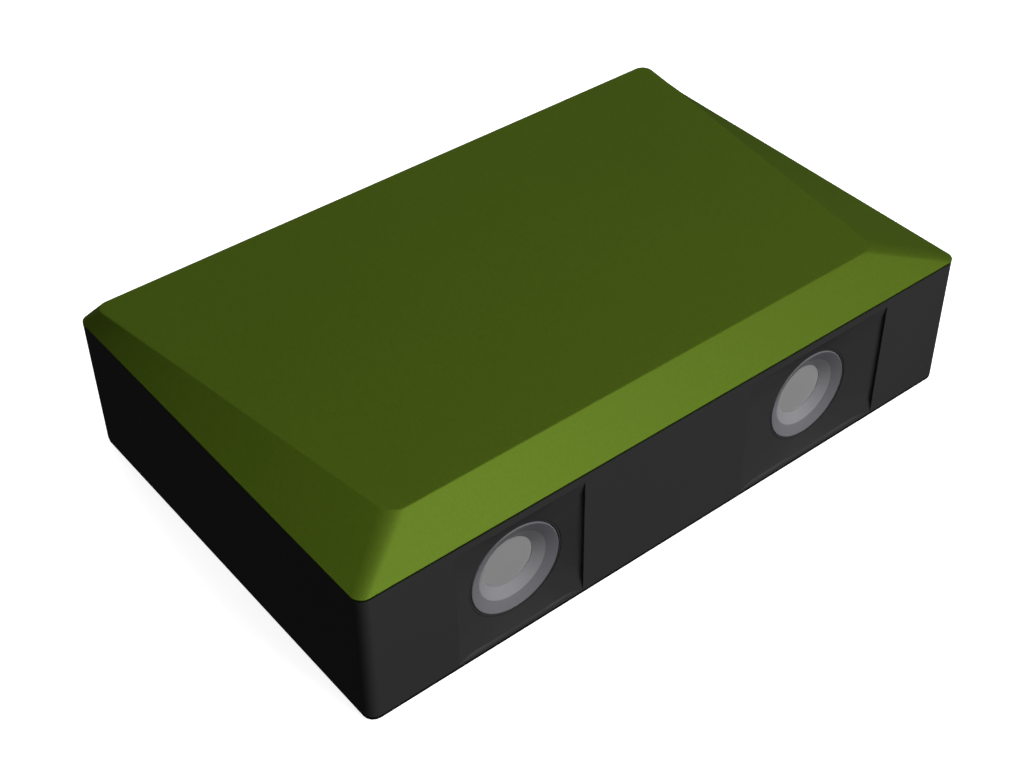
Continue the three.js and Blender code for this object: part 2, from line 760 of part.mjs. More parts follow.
// Lens sets. Each is modelled about its own axis, with y counted from the casing's face.
const hoodRim = 0.3;
const hoodStepRadius = 10.2;
const hoodStepDepth = 1.3;
const hoodInnerRadius = 7.5;
const hoodInnerDepth = 3.1;
const hoodLip = 0.4;
const hoodSeatDepth = 2.1;
const glassOverlap = 0.7;
const glassCrown = 0.5;
const glassHollow = 1.2;
const cellWall = 1.2;
const cellLength = 8;
const barrelRadius = 9.4;
const barrelBoreRadius = 7.6;
const baffleDepth = 3;
const baffleThickness = 1.2;
const baffleHoleRadius = 7;
const rearLensThickness = 3.6;
const rearLensCrown = 1;
const rearLip = 1.4;
const lockRingLength = 4.5;
const lockRingWall = 2.2;
const lockRingNotch = 0.8;
const lockRingTeeth = 14;
const domeSteps = 2;
const cellFront = padDepth + seatGap;
const hoodRear = cellFront + hoodSeatDepth;
const cellRadius = lensHoleRadius + cellWall;
const cellBoreRadius = hoodRadius + 2 * seatGap;
const baffleRadius = cellBoreRadius - cellWall;
const baffleRear = hoodRear + baffleDepth;
const stopRingFront = baffleRear - seatGap - baffleThickness;
const glassRadius = hoodInnerRadius + glassOverlap;
const glassSeat = seatDepth + hoodInnerDepth + hoodLip;

// Points of a cap's arc, from the rim to the axis, for a cap of this height on this rim radius.
function capArc(rimRadius, height, rimAlong, steps) {
  const ballRadius = (rimRadius ** 2 + height ** 2) / (2 * height);
  const rimAngle = Math.asin(rimRadius / ballRadius);
  const points = [];
  for (let i = 0; i <= steps; i += 1) {
    const angle = rimAngle * (1 - i / steps);
    const fromRim = ballRadius * (Math.cos(angle) - Math.cos(rimAngle));
    points.push([ballRadius * Math.sin(angle), rimAlong - fromRim]);
  }
  points[steps][0] = 0;
  return points;
}

// The grey ring round the glass, which falls in two cones to its inner lip. The glass seats behind the lip.
function lensHood() {
  return turnedRing([
    [hoodRadius - hoodRim, seatDepth],
    [hoodRadius, seatDepth + hoodRim],
    [hoodRadius, hoodRear],
    [glassRadius + seatGap, hoodRear],
    [glassRadius + seatGap, glassSeat],
    [hoodInnerRadius, glassSeat],
    [hoodInnerRadius, seatDepth + hoodInnerDepth],
    [hoodStepRadius, seatDepth + hoodStepDepth],
  ], roundSteps);
}

// The front glass, slightly domed, with a shallow hollow behind.
function frontLens() {
  const rear = stopRingFront - seatGap;
  const dome = capArc(glassRadius, glassCrown, glassSeat + seatGap, domeSteps).reverse();
  const behind = capArc(baffleHoleRadius, glassHollow, rear, domeSteps);
  return turned([...dome, [glassRadius, rear], ...behind], barrelSteps);
}

function lensSeal() {
  const inner = hoodRadius + seatGap;
  const outer = inner + sealWall;
  return turnedRing([
    [inner, seatDepth + fitGap],
    [outer, seatDepth + fitGap],
    [outer, padDepth],
    [inner, padDepth],
  ], roundSteps);
}

function lensBarrel(length) {
  const end = cellFront + length;
  return turnedRing([
    [cellBoreRadius, cellFront],
    [cellRadius, cellFront],
    [cellRadius, cellFront + cellLength],
    [barrelRadius, cellFront + cellLength],
    [barrelRadius, end],
    [barrelBoreRadius - rearLip, end],
    [barrelBoreRadius - rearLip, end - rearLip],
    [barrelBoreRadius, end - rearLip],
    [barrelBoreRadius, baffleRear],
    [baffleRadius, baffleRear],
    [baffleRadius, hoodRear + seatGap],
    [cellBoreRadius, hoodRear + seatGap],
  ], barrelSteps);
}

// A flat ring behind the glass that keeps stray light out of the barrel.
function stopRing() {
  const rear = baffleRear - seatGap;
  const bevel = baffleThickness / 2;
  return turnedRing([
    [baffleHoleRadius + bevel, stopRingFront],
    [baffleRadius - seatGap, stopRingFront],
    [baffleRadius - seatGap, rear],
    [baffleHoleRadius, rear],
  ], barrelSteps);
}

// A lens with two domed faces, against the lip at the barrel's rear end.
function rearLens(length) {
  const radius = barrelBoreRadius - seatGap;
  const rear = cellFront + length - rearLip - seatGap;
  const front = rear - rearLensThickness;
  const before = capArc(radius, rearLensCrown, front + rearLensCrown, domeSteps).reverse();
  const flat = barrelBoreRadius - rearLip;
  return turned([...before, [radius, rear], [flat, rear], [0, rear]], smallRoundSteps);
}

// A ring with notches for the fingers, screwed along the barrel against what holds it.
function lockRing() {
  const outline = [];
  const outer = barrelRadius + fitGap + lockRingWall;
  for (let i = 0; i < lockRingTeeth; i += 1) {
    const middle = (i / lockRingTeeth) * fullTurn;
    const half = fullTurn / lockRingTeeth / 4;
    const inner = outer - lockRingNotch;
    outline.push([inner * Math.cos(middle - half), inner * Math.sin(middle - half)]);
    outline.push([outer * Math.cos(middle - half / 2), outer * Math.sin(middle - half / 2)]);
    outline.push([outer * Math.cos(middle + half), outer * Math.sin(middle + half)]);
  }
  const bore = roundHole(0, 0, barrelRadius + fitGap, barrelSteps);
  return profileAlongY(outline, lockRingLength, [bore]);
}

function lensSet(owner, lensX, barrelLength, lockRingY) {
  const set = new THREE.Group();
  set.position.set(lensX, faceY, lensHeight);
  set.add(named(`${owner}_lens_hood`, lensHood(), hoodGrey));
  set.add(named(`${owner}_front_lens`, frontLens(), lensGlass));
  set.add(named(`${owner}_lens_seal`, lensSeal(), blackRubber));
  set.add(named(`${owner}_lens_barrel`, lensBarrel(barrelLength), blackMetal));
  set.add(named(`${owner}_stop_ring`, stopRing(), castMetal));
  set.add(named(`${owner}_rear_lens`, rearLens(barrelLength), lensGlass));
  const ring = named(`${owner}_lock_ring`, lockRing(), bareMetal);
  ring.position.y = lockRingY - faceY;
  set.add(ring);
  scanner.add(set);
}

const bodySocketDepth = 6;
const endPlay = 1;
const cameraBarrelEnd = cameraBodyFrontY + bodySocketDepth - endPlay - faceY - cellFront;
const engineSocketDepth = 8;
const projectorBarrelEnd = engineFrontY + engineSocketDepth - endPlay - faceY - cellFront;
lensSet('camera', cameraX, cameraBarrelEnd, cameraMountY + cameraMountDepth + fitGap);
lensSet('projector', projectorX, projectorBarrelEnd, engineFrontY - fitGap - lockRingLength);

// Camera mount: an arch that clamps the barrel, on two feet screwed to the bench.
const archWall = 4.6;
const tabEnd = 3.2;
const archRadius = barrelRadius + fitGap + archWall;

function cameraMount() {
  const axis = lensHeight - benchTop - seatGap;
  const reach = tabReach + tabEnd;
  const arch = [];
  for (let i = 0; i <= screwSteps; i += 1) {
    const angle = (i / screwSteps) * Math.PI;
    arch.push([archRadius * Math.cos(angle), axis + archRadius * Math.sin(angle)]);
  }
  const outline = [
    [-reach, 0],
    [reach, 0],
    [reach, flangeThickness],
    [archRadius, flangeThickness],
    ...arch,
    [-archRadius, flangeThickness],
    [-reach, flangeThickness],
  ];
  const bore = roundHole(0, axis, barrelRadius + fitGap, barrelSteps);
  const frame = profileAlongY(outline, cameraMountDepth, [bore]);
  const holes = [-1, 1].map((side) => {
    const long = flangeThickness + 2 * overrun;
    const radius = smallScrewShankRadius + fitGap;
    return rod(radius, long, side * tabReach, cameraMountDepth / 2, -overrun, screwSteps);
  });
  return cut(frame, holes).translate(cameraX, cameraMountY, benchTop + seatGap);
}
scanner.add(named('camera_mount', cameraMount(), castMetal));

// Camera body: a cast block on the barrel's end, with the image sensor in a pocket behind.
const cameraBodyHalfWidth = 16;
const cameraBodyHeight = 26;
const cameraBodyChamfer = 3;
const lightWindowRadius = 6;
const sensorWidth = 15;
const sensorHeight = 13;
const sensorThickness = 2.1;
const sensorPocketDepth = 3.2;
const connectorWidth = 14;
const connectorHeight = 3;
const cameraBoardY = cameraBodyRearY + seatGap;
const cameraConnectorDrop = 4;
const cameraConnectorZ = lensHeight - cameraConnectorDrop;

function cameraBody() {
  const low = benchTop + seatGap;
  const high = low + cameraBodyHeight;
  const half = cameraBodyHalfWidth;
  const chamfer = cameraBodyChamfer;
  const outline = [
    [-half, low],
    [half, low],
    [half, high - chamfer],
    [half - chamfer, high],
    [chamfer - half, high],
    [-half, high - chamfer],
  ];
  const cast = profileAlongY(outline, cameraBodyDepth).translate(cameraX, cameraBodyFrontY, 0);
  const socket = rodAlongY(
    barrelRadius + fitGap, bodySocketDepth + overrun,
    cameraX, cameraBodyFrontY - overrun, lensHeight, barrelSteps,
  );
  const light = rodAlongY(lightWindowRadius, cameraBodyDepth, cameraX, cameraBodyFrontY, lensHeight);
  const pocketLong = sensorPocketDepth + overrun;
  const pocket = block(
    sensorWidth + 2 * fitGap, pocketLong, sensorHeight + 2 * fitGap,
    cameraX, cameraBodyRearY + overrun - pocketLong / 2, lensHeight - sensorHeight / 2 - fitGap,
  );
  return cut(cast, socket, light, pocket);
}
scanner.add(named('camera_body', cameraBody(), blackMetal));

function cameraBoard() {
  const low = benchTop + fitGap;
  const height = cameraBodyHeight - fitGap;
  const board = block(
    2 * cameraBodyHalfWidth, cameraBoardThickness, height,
    cameraX, cameraBoardY + cameraBoardThickness / 2, low,
  );
  const long = connectorDepth + cameraBoardThickness / 2;
  const y = cameraBoardY + cameraBoardThickness / 2 + long / 2;
  return join(board, block(connectorWidth, long, connectorHeight, cameraX, y, cameraConnectorZ));
}
scanner.add(named('camera_board', cameraBoard(), boardGreen));

function imageSensor() {
  const y = cameraBodyRearY - sensorThickness / 2;
  return block(sensorWidth, sensorThickness, sensorHeight, cameraX, y, lensHeight - sensorHeight / 2);
}
scanner.add(named('image_sensor', imageSensor(), chipBlack));

// Projector engine: a cast block that carries the barrel in front, the light modulator at its left side
// and the lamp at the end of a narrower neck behind.
const engineHeight = 27.5;
const engineChamfer = 5;
const neckHalfWidth = 15;
const neckHeight = 24;
const engineTabEnd = 3.2;
const engineTabDepth = 9;
const engineRibWall = 1.6;
const engineRibHeight = 1.5;
const engineRibCount = 5;
const engineRibPitch = 7;
const modulatorInset = 10;
const modulatorWidth = 14;
const modulatorHeight = 12;
const modulatorThickness = 2.4;
const emitterSize = 6;
const emitterThickness = 2;
const modulatorY = engineRearY - modulatorInset;
const engineBottom = benchTop + seatGap;
const engineLeftX = projectorX - engineHalfWidth;

function projectorEngine() {
  const half = engineHalfWidth;
  const outline = [
    [half - engineChamfer, engineFrontY],
    [half, engineFrontY + engineChamfer],
    [half, engineRearY - engineChamfer],
    [half - engineChamfer, engineRearY],
    [-half, engineRearY],
    [-half, engineFrontY + engineChamfer],
    [engineChamfer - half, engineFrontY],
  ];
  const body = plate(outline, engineHeight).translate(projectorX, 0, engineBottom);
  const neckLong = neckDepth + overrun;
  const neck = block(
    2 * neckHalfWidth, neckLong, neckHeight,
    projectorX, neckRearY - neckLong / 2, lensHeight - neckHeight / 2 + overrun,
  );
  const tabLong = 2 * (engineTabReach + engineTabEnd);
  const tabs = block(tabLong, engineTabDepth, flangeThickness, projectorX, engineTabY, engineBottom);
  const ribTop = engineBottom + engineHeight - overrun;
  const ribWidth = 2 * (half - engineChamfer);
  const ribs = rowOf(engineRibCount, engineRibPitch, (engineFrontY + engineRearY) / 2).map((y) => {
    return block(ribWidth, engineRibWall, engineRibHeight + overrun, projectorX, y, ribTop);
  });
  const socket = rodAlongY(
    barrelRadius + fitGap, engineSocketDepth + overrun,
    projectorX, engineFrontY - overrun, lensHeight, barrelSteps,
  );
  const pocketLong = modulatorThickness + seatGap + fitGap + overrun;
  const pocket = block(
    pocketLong, modulatorWidth + 2 * fitGap, modulatorHeight + 2 * fitGap,
    engineLeftX - overrun + pocketLong / 2, modulatorY, lensHeight - modulatorHeight / 2 - fitGap,
  );
  const lampLong = emitterThickness + fitGap + overrun;
  const lamp = block(
    emitterSize + 2 * fitGap, lampLong, emitterSize + 2 * fitGap,
    projectorX, neckRearY + overrun - lampLong / 2, lensHeight - emitterSize / 2 - fitGap,
  );
  const holes = engineScrewPlaces.map(([x, y]) => {
    const long = flangeThickness + 2 * overrun;
    return rod(smallScrewShankRadius + fitGap, long, x, y, benchTop - overrun, screwSteps);
  });
  return cut(join(body, neck, tabs, ribs), socket, pocket, lamp, holes);
}
scanner.add(named('projector_engine', projectorEngine(), castMetal));

const modulatorBoardWidth = 30;
const modulatorBoardHeight = 25;
const modulatorBoardThickness = 1.6;
const modulatorBoardLead = 12;
const modulatorBoardFrontY = modulatorY - modulatorBoardLead;
const modulatorBoardX = engineLeftX - seatGap - modulatorBoardThickness / 2;
const modulatorBoardLift = 2;
const modulatorBoardZ = lensHeight - modulatorBoardHeight / 2 + modulatorBoardLift;
const modulatorPlugInset = 1;
const modulatorPlugRearY = modulatorBoardFrontY + modulatorBoardWidth - modulatorPlugInset;
const modulatorRibbonY = modulatorPlugRearY - connectorWidth / 2;
const modulatorConnectorDrop = 3;
const modulatorConnectorZ = lensHeight - modulatorConnectorDrop;

function modulatorBoard() {
  const board = block(
    modulatorBoardThickness, modulatorBoardWidth, modulatorBoardHeight,
    modulatorBoardX, modulatorBoardFrontY + modulatorBoardWidth / 2, modulatorBoardZ,
  );
  const long = connectorDepth + modulatorBoardThickness / 2;
  const x = modulatorBoardX - long / 2;
  return join(board, block(long, connectorWidth, connectorHeight, x, modulatorRibbonY, modulatorConnectorZ));
}
scanner.add(named('modulator_board', modulatorBoard(), boardGreen));

function lightModulator() {
  const x = engineLeftX + modulatorThickness / 2;
  return block(
    modulatorThickness, modulatorWidth, modulatorHeight,
    x, modulatorY, lensHeight - modulatorHeight / 2,
  );
}
scanner.add(named('light_modulator', lightModulator(), chipBlack));

// Lamp: the emitter in the neck's end, its board, and a finned heat sink in the fan's draught.
const sinkHalfWidth = 17;
const sinkHeight = 28;
const sinkBase = 4;
const finCount = 9;
const finWall = 1.3;

function ledEmitter() {
  const half = emitterThickness / 2;
  const lensY = neckRearY - emitterThickness;
  const lens = rodAlongY(emitterSize / 3, emitterThickness, projectorX, lensY, lensHeight);
  const bottom = lensHeight - emitterSize / 2;
  const base = block(emitterSize, half, emitterSize, projectorX, neckRearY - half / 2, bottom);
  return join(base, lens);
}
scanner.add(named('led_emitter', ledEmitter(), leadWhite));

function ledBoard() {
  const y = lampBoardY + lampBoardThickness / 2;
  return block(
    2 * neckHalfWidth, lampBoardThickness, neckHeight,
    projectorX, y, lensHeight - neckHeight / 2,
  );
}
scanner.add(named('led_board', ledBoard(), leadWhite));

// Fins on a base, as an outline of [across, out].
function finOutline(halfWidth, reach, base, count, fin) {
  const pitch = (2 * halfWidth - fin) / (count - 1);
  const outline = [[-halfWidth, 0], [halfWidth, 0]];
  rowOf(count, -pitch, 0).forEach((middle, i) => {
    if (i > 0) outline.push([middle + fin / 2, base]);
    outline.push([middle + fin / 2, reach], [middle - fin / 2, reach]);
    if (i < count - 1) outline.push([middle - fin / 2, base]);
  });
  return outline;
}

function ledHeatSink() {
  const comb = finOutline(sinkHalfWidth, sinkDepth, sinkBase, finCount, finWall);
  return plate(comb, sinkHeight).translate(projectorX, sinkY, lensHeight - sinkHeight / 2);
}
scanner.add(named('led_heat_sink', ledHeatSink(), bareMetal));

// Fan: a square frame with a motor plate on three struts, and a rotor of twisted blades on a shaft.
const fanBoreRadius = 16.2;
const fanBoreSteps = 24;
const fanHoleInset = 3;
const fanHoleRadius = 1.5;
const motorRadius = 8;
const motorPlate = 2.2;
const strutWidth = 2;
const strutCount = 3;
const bearingRadius = 2.4;
const bearingLength = 4;
const shaftRadius = 0.9;
const hubLength = 6.6;
const hubWall = 1.4;
const bladeCount = 7;
const bladeTipGap = 0.7;
const bladeThickness = 0.9;
const bladeDraught = 5.4;
const rootPitch = 0.9;
const tipPitch = 0.6;
const rotorFront = 0.7;

function fanFrame() {
  const half = fanSize / 2;
  const square = oblongCorners(half, half);
  const inset = half - fanHoleInset;
  const holes = oblongCorners(inset, inset).map(([x, z]) => roundHole(x, z, fanHoleRadius, screwSteps));
  const bore = roundHole(0, 0, fanBoreRadius, fanBoreSteps);
  const ring = profileAlongY(square, fanDepth, [bore, ...holes]);
  const plateY = fanDepth - motorPlate;
  const disc = rodAlongY(motorRadius, motorPlate, 0, plateY, 0);
  const bearingY = plateY - bearingLength;
  const bearing = rodAlongY(bearingRadius, bearingLength + overrun, 0, bearingY, 0, screwSteps);
  const reach = fanBoreRadius + overrun;
  const struts = Array.from({ length: strutCount }, (_, i) => {
    const bar = block(strutWidth, motorPlate, reach, 0, plateY + motorPlate / 2, 0);
    return bar.rotateY((i / strutCount) * fullTurn);
  });
  const shaftHole = rodAlongY(shaftRadius + seatGap, bearingLength, 0, bearingY - seatGap, 0);
  return cut(join(ring, disc, bearing, struts), shaftHole).translate(fanX, fanFrontY, fanZ);
}
scanner.add(named('fan_frame', fanFrame(), chipBlack));

// One blade, a thin bent strip that turns flatter towards its tip.
function fanBlade() {
  const tip = fanBoreRadius - bladeTipGap;
  const root = motorRadius - hubWall / 2;
  const stationShares = [0, 0.5, 1];
  const rings = stationShares.map((share) => {
    const pitch = rootPitch + (tipPitch - rootPitch) * share;
    const chord = bladeDraught / Math.sin(pitch);
    const bow = bladeThickness * (1 + share);
    const alongShares = [-0.5, 0, 0.5];
    const lower = alongShares.map((along) => {
      return [chord * along, bow * (1 - 4 * along ** 2) - bladeThickness / 2];
    });
    const upper = lower.map(([along, across]) => [along, across + bladeThickness]).reverse();
    return [...lower, ...upper].map(([along, across]) => {
      const x = along * Math.cos(pitch) - across * Math.sin(pitch);
      const y = along * Math.sin(pitch) + across * Math.cos(pitch);
      return new THREE.Vector3(x, y, root + (tip - root) * share);
    });
  });
  return loft(rings);
}

function fanRotor() {
  const rear = rotorFront + hubLength;
  const hubInner = motorRadius - hubWall;
  const hub = turned([
    [0, rotorFront],
    [motorRadius - hubWall / 2, rotorFront],
    [motorRadius, rotorFront + hubWall / 2],
    [motorRadius, rear],
    [hubInner, rear],
    [hubInner, rotorFront + hubWall],
    [shaftRadius, rotorFront + hubWall],
    [shaftRadius, rear],
    [0, rear],
  ], smallRoundSteps);
  const middle = rotorFront + hubLength / 2;
  const blades = Array.from({ length: bladeCount }, (_, i) => {
    return fanBlade().translate(0, middle, 0).rotateY((i / bladeCount) * fullTurn);
  });
  return join(hub, blades);
}
const rotor = named('fan_rotor', fanRotor(), chipBlack);
rotor.position.set(fanX, fanFrontY, fanZ);
scanner.add(rotor);

// Control board with its soldered parts, its processor and the processor's heat sink.
const boardCorner = 2;
const processorSize = 23;
const processorThickness = 2.2;
const processorShare = 0.528;
const cameraPlugInset = 5;
const cameraPlugY = boardFrontY + cameraPlugInset;
const processorX = boardLeftX + boardWidth * processorShare;
const processorY = (cameraPlugY + connectorDepth + rearY - usbLength) / 2;
const coolerSize = 26;
const coolerBase = 2;
const coolerHeight = 9;
const coolerFinCount = 7;
const coolerFinWall = 1.1;
const memoryWidth = 9;
const memoryDepth = 13;
const memoryHeight = 1.2;
const memoryGap = 4;
const memoryCount = 2;
const canRadius = 3;
const canHeight = 7;
const canCount = 3;
const canPitch = 8;
const canInset = 10;
const canX = boardLeftX + canInset;
const fanPlugWidth = 5;
const fanPlugHeight = 3.4;
const fanPlugInset = 6;
const fanPlugY = boardRearY - fanPlugInset;
const ribbonRise = 1.7;

function controlBoard() {
  const middleX = (boardLeftX + boardRightX) / 2;
  const middleY = (boardFrontY + boardRearY) / 2;
  const ring = (z) => cornerRing(oblongCorners(boardWidth / 2, boardDepth / 2), boardCorner, z);
  const sheet = loft([ring(boardBottom), ring(boardTop)]).translate(middleX, middleY, 0);
  const sunk = boardThickness / 2;
  const onBoard = (width, depth, height, x, y) => block(width, depth, height + sunk, x, y, boardTop - sunk);
  const memory = rowOf(memoryCount, memoryDepth + memoryGap, processorY).map((y) => {
    const x = processorX - processorSize / 2 - memoryGap - memoryWidth / 2;
    return onBoard(memoryWidth, memoryDepth, memoryHeight, x, y);
  });
  const cans = rowOf(canCount, canPitch, processorY).map((y) => {
    return rod(canRadius, canHeight + sunk, canX, y, boardTop - sunk, screwSteps);
  });
  const plugs = [
    onBoard(connectorWidth, connectorDepth, connectorHeight, cameraX, cameraPlugY + connectorDepth / 2),
    onBoard(connectorDepth, connectorWidth, connectorHeight, boardRightX - connectorDepth, modulatorRibbonY),
    onBoard(fanPlugWidth, fanPlugWidth, fanPlugHeight, boardRightX - fanPlugWidth / 2 - seatGap, fanPlugY),
  ];
  const holes = boardScrewPlaces.map(([x, y]) => {
    const long = boardThickness + 2 * overrun;
    return rod(boardScrewShankRadius + fitGap, long, x, y, boardBottom - overrun, screwSteps);
  });
  return cut(join(sheet, memory, cans, plugs), holes);
}
scanner.add(named('control_board', controlBoard(), boardGreen));
const boardScrew = screw(
  boardScrewHeadRadius, boardScrewHeadHeight, boardScrewShankRadius, boardScrewShankLength,
);
screwSet('board_screw', boardScrewPlaces, boardTop + seatGap, boardScrew);

const processorZ = boardTop + seatGap;
scanner.add(named(
  'processor',
  block(processorSize, processorSize, processorThickness, processorX, processorY, processorZ),
  chipBlack,
));

function processorHeatSink() {
  const half = coolerSize / 2;
  const comb = finOutline(half, coolerHeight, coolerBase, coolerFinCount, coolerFinWall);
  const z = processorZ + processorThickness + seatGap;
  return profileAlongY(comb, coolerSize).translate(processorX, processorY - half, z);
}
scanner.add(named('processor_heat_sink', processorHeatSink(), bareMetal));

// Rear sockets: each body stands on the board and its mouth fills its hole in the rear wall.
const socketSunk = 0.4;
const usbMouthWidth = 8.5;
const usbMouthHeight = 7.8;
const usbMouthDepth = 9;
const usbTongueWidth = 5.6;
const usbTongueHeight = 3.2;
const usbTongueRecess = 1;
const dcWidth = 9;
const dcHeight = 11;
const dcLength = 11;
const dcBoreRadius = 3.15;
const dcBoreDepth = 9.5;
const dcPinRadius = 1;
const dcPinRecess = 1;
const socketRearY = rearY - socketSunk;

function usbSocket() {
  const z = usbZ - usbHeight / 2;
  const y = socketRearY - usbLength / 2;
  const shell = block(usbWidth, usbLength, usbHeight, usbX, y, z);
  const long = usbMouthDepth + overrun;
  const mouthY = socketRearY + overrun - long / 2;
  const mouth = block(usbMouthWidth, long, usbMouthHeight, usbX, mouthY, usbZ - usbMouthHeight / 2);
  const tongueY = socketRearY - usbTongueRecess - usbMouthDepth / 2;
  const tongueZ = usbZ - usbTongueHeight / 2;
  const tongue = block(usbTongueWidth, usbMouthDepth, usbTongueHeight, usbX, tongueY, tongueZ);
  return join(cut(shell, mouth), tongue);
}
scanner.add(named('usb_socket', usbSocket(), bareMetal));

function dcInlet() {
  const bodyRearY = innerRearY - fitGap;
  const bottom = boardTop + seatGap;
  const body = block(dcWidth, dcLength, dcHeight, dcX, bodyRearY - dcLength / 2, bottom);
  const noseLong = socketRearY - bodyRearY + overrun;
  const nose = rodAlongY(dcNoseRadius, noseLong, dcX, bodyRearY - overrun, dcZ);
  const bore = rodAlongY(dcBoreRadius, dcBoreDepth + overrun, dcX, socketRearY - dcBoreDepth, dcZ);
  const pinY = socketRearY - dcPinRecess - dcBoreDepth;
  const pin = rodAlongY(dcPinRadius, dcBoreDepth, dcX, pinY, dcZ, screwSteps);
  return join(cut(join(body, nose), bore), pin);
}
scanner.add(named('dc_inlet', dcInlet(), chipBlack));

// Power button: a cap through the rear wall, held by a flange, with a stem that enters the switch.
const buttonFlange = 1.2;
const flangeWall = 1;
const stemRadius = 1;
const buttonTravel = 1;
const switchSize = 8;
const switchHeight = 9;
const stemReach = 2.4;
const capEdge = 0.5;
const buttonFlangeRear = innerRearY - seatGap;
const buttonFlangeFront = buttonFlangeRear - flangeWall;
const switchRearY = buttonFlangeFront - buttonTravel - fitGap;

function powerButton() {
  const outer = rearY + buttonProud;
  const stemEnd = switchRearY - stemReach;
  const profile = [
    [0, stemEnd],
    [stemRadius, stemEnd],
    [stemRadius, buttonFlangeFront],
    [buttonRadius + buttonFlange, buttonFlangeFront],
    [buttonRadius + buttonFlange, buttonFlangeRear],
    [buttonRadius, buttonFlangeRear],
    [buttonRadius, outer - capEdge],
    [buttonRadius - capEdge, outer],
    [0, outer],
  ];
  return turned(profile, smallRoundSteps);
}
const button = named('power_button', powerButton(), chipBlack);
button.position.set(buttonX, 0, buttonZ);
scanner.add(button);

function powerSwitch() {
  const bottom = boardTop + seatGap;
  const body = block(switchSize, switchSize, switchHeight, buttonX, switchRearY - switchSize / 2, bottom);
  const depth = stemReach + buttonTravel + fitGap;
  const boreY = switchRearY - depth;
  const bore = rodAlongY(stemRadius + fitGap, depth + overrun, buttonX, boreY, buttonZ, screwSteps);
  return cut(body, bore);
}
scanner.add(named('power_switch', powerSwitch(), chipBlack));

// Ribbons: thin flat strips bent along a path of [along, height] points, and the fan's round lead.
const ribbonThickness = 0.3;
const ribbonMargin = 1;
const ribbonWidth = connectorWidth - 2 * ribbonMargin;
const ribbonBendSteps = 4;
const leadRadius = 0.9;
const leadSides = 6;
const leadSteps = 14;

function ribbonOutline(path) {
  const points = path.getPoints(ribbonBendSteps);
  const side = (sign) => points.map((point, i) => {
    const before = points[Math.max(i - 1, 0)];
    const after = points[Math.min(i + 1, points.length - 1)];
    const along = after.clone().sub(before).normalize();
    const out = (sign * ribbonThickness) / 2;
    return [point.x - along.y * out, point.y + along.x * out];
  });
  return [...side(1), ...side(-1).reverse()];
}

function cameraRibbon() {
  const startY = cameraBoardY + cameraBoardThickness + connectorDepth / 2;
  const low = boardTop + ribbonRise;
  const endY = cameraPlugY - seatGap;
  const path = new THREE.Path();
  path.moveTo(startY, cameraConnectorZ - seatGap);
  path.lineTo(startY, low + ribbonRise);
  path.quadraticCurveTo(startY, low, startY + ribbonRise, low);
  path.lineTo(endY, low);
  const sheet = plate(ribbonOutline(path), ribbonWidth);
  return sheet.rotateX(quarterTurn).rotateZ(quarterTurn).translate(cameraX - ribbonWidth / 2, 0, 0);
}
scanner.add(named('camera_ribbon', cameraRibbon(), leadWhite));

function modulatorRibbon() {
  const startX = modulatorBoardX - modulatorBoardThickness / 2 - connectorDepth / 2;
  const high = tripodBossTop + ribbonRise;
  const endX = boardRightX - connectorDepth;
  const path = new THREE.Path();
  path.moveTo(startX, modulatorConnectorZ - seatGap);
  path.quadraticCurveTo(startX, high, startX - 2 * ribbonRise, high);
  path.lineTo(endX + ribbonRise, high);
  path.quadraticCurveTo(endX, high, endX, boardTop + connectorHeight + fitGap);
  const sheet = profileAlongY(ribbonOutline(path), ribbonWidth);
  return sheet.translate(0, modulatorRibbonY - ribbonWidth / 2, 0);
}
scanner.add(named('modulator_ribbon', modulatorRibbon(), leadWhite));

function fanLead() {
  const startX = fanX - fanSize / 2 - seatGap;
  const startY = fanFrontY + fanDepth / 2;
  const startZ = floorThickness + railHeight + 2 * leadRadius;
  const endX = boardRightX + seatGap / 2;
  const endZ = boardTop + fanPlugHeight / 2;
  const bendShares = [0.2, 0.5, 0.8];
  const start = new THREE.Vector3(startX, startY, startZ);
  const end = new THREE.Vector3(endX, fanPlugY, endZ);
  const bends = bendShares.map((share) => {
    const point = start.clone().lerp(end, share);
    point.z = endZ + (startZ - endZ) * (1 - share) ** 2;
    return point;
  });
  const straight = new THREE.Vector3(2 * leadRadius, 0, 0);
  const path = new THREE.CatmullRomCurve3([
    start,
    start.clone().sub(straight),
    ...bends,
    end.clone().add(straight),
    end,
  ]);
  const round = roundHole(0, 0, leadRadius, leadSides).getPoints();
  const section = new THREE.Shape(round);
  return new THREE.ExtrudeGeometry(section, { steps: leadSteps, extrudePath: path, bevelEnabled: false });
}
scanner.add(named('fan_lead', fanLead(), chipBlack));

// The whole stands on its feet, with the middle of its overall depth at y = 0.
scanner.position.set(0, -buttonProud / 2, footStand);

export default scanner;
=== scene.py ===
import math

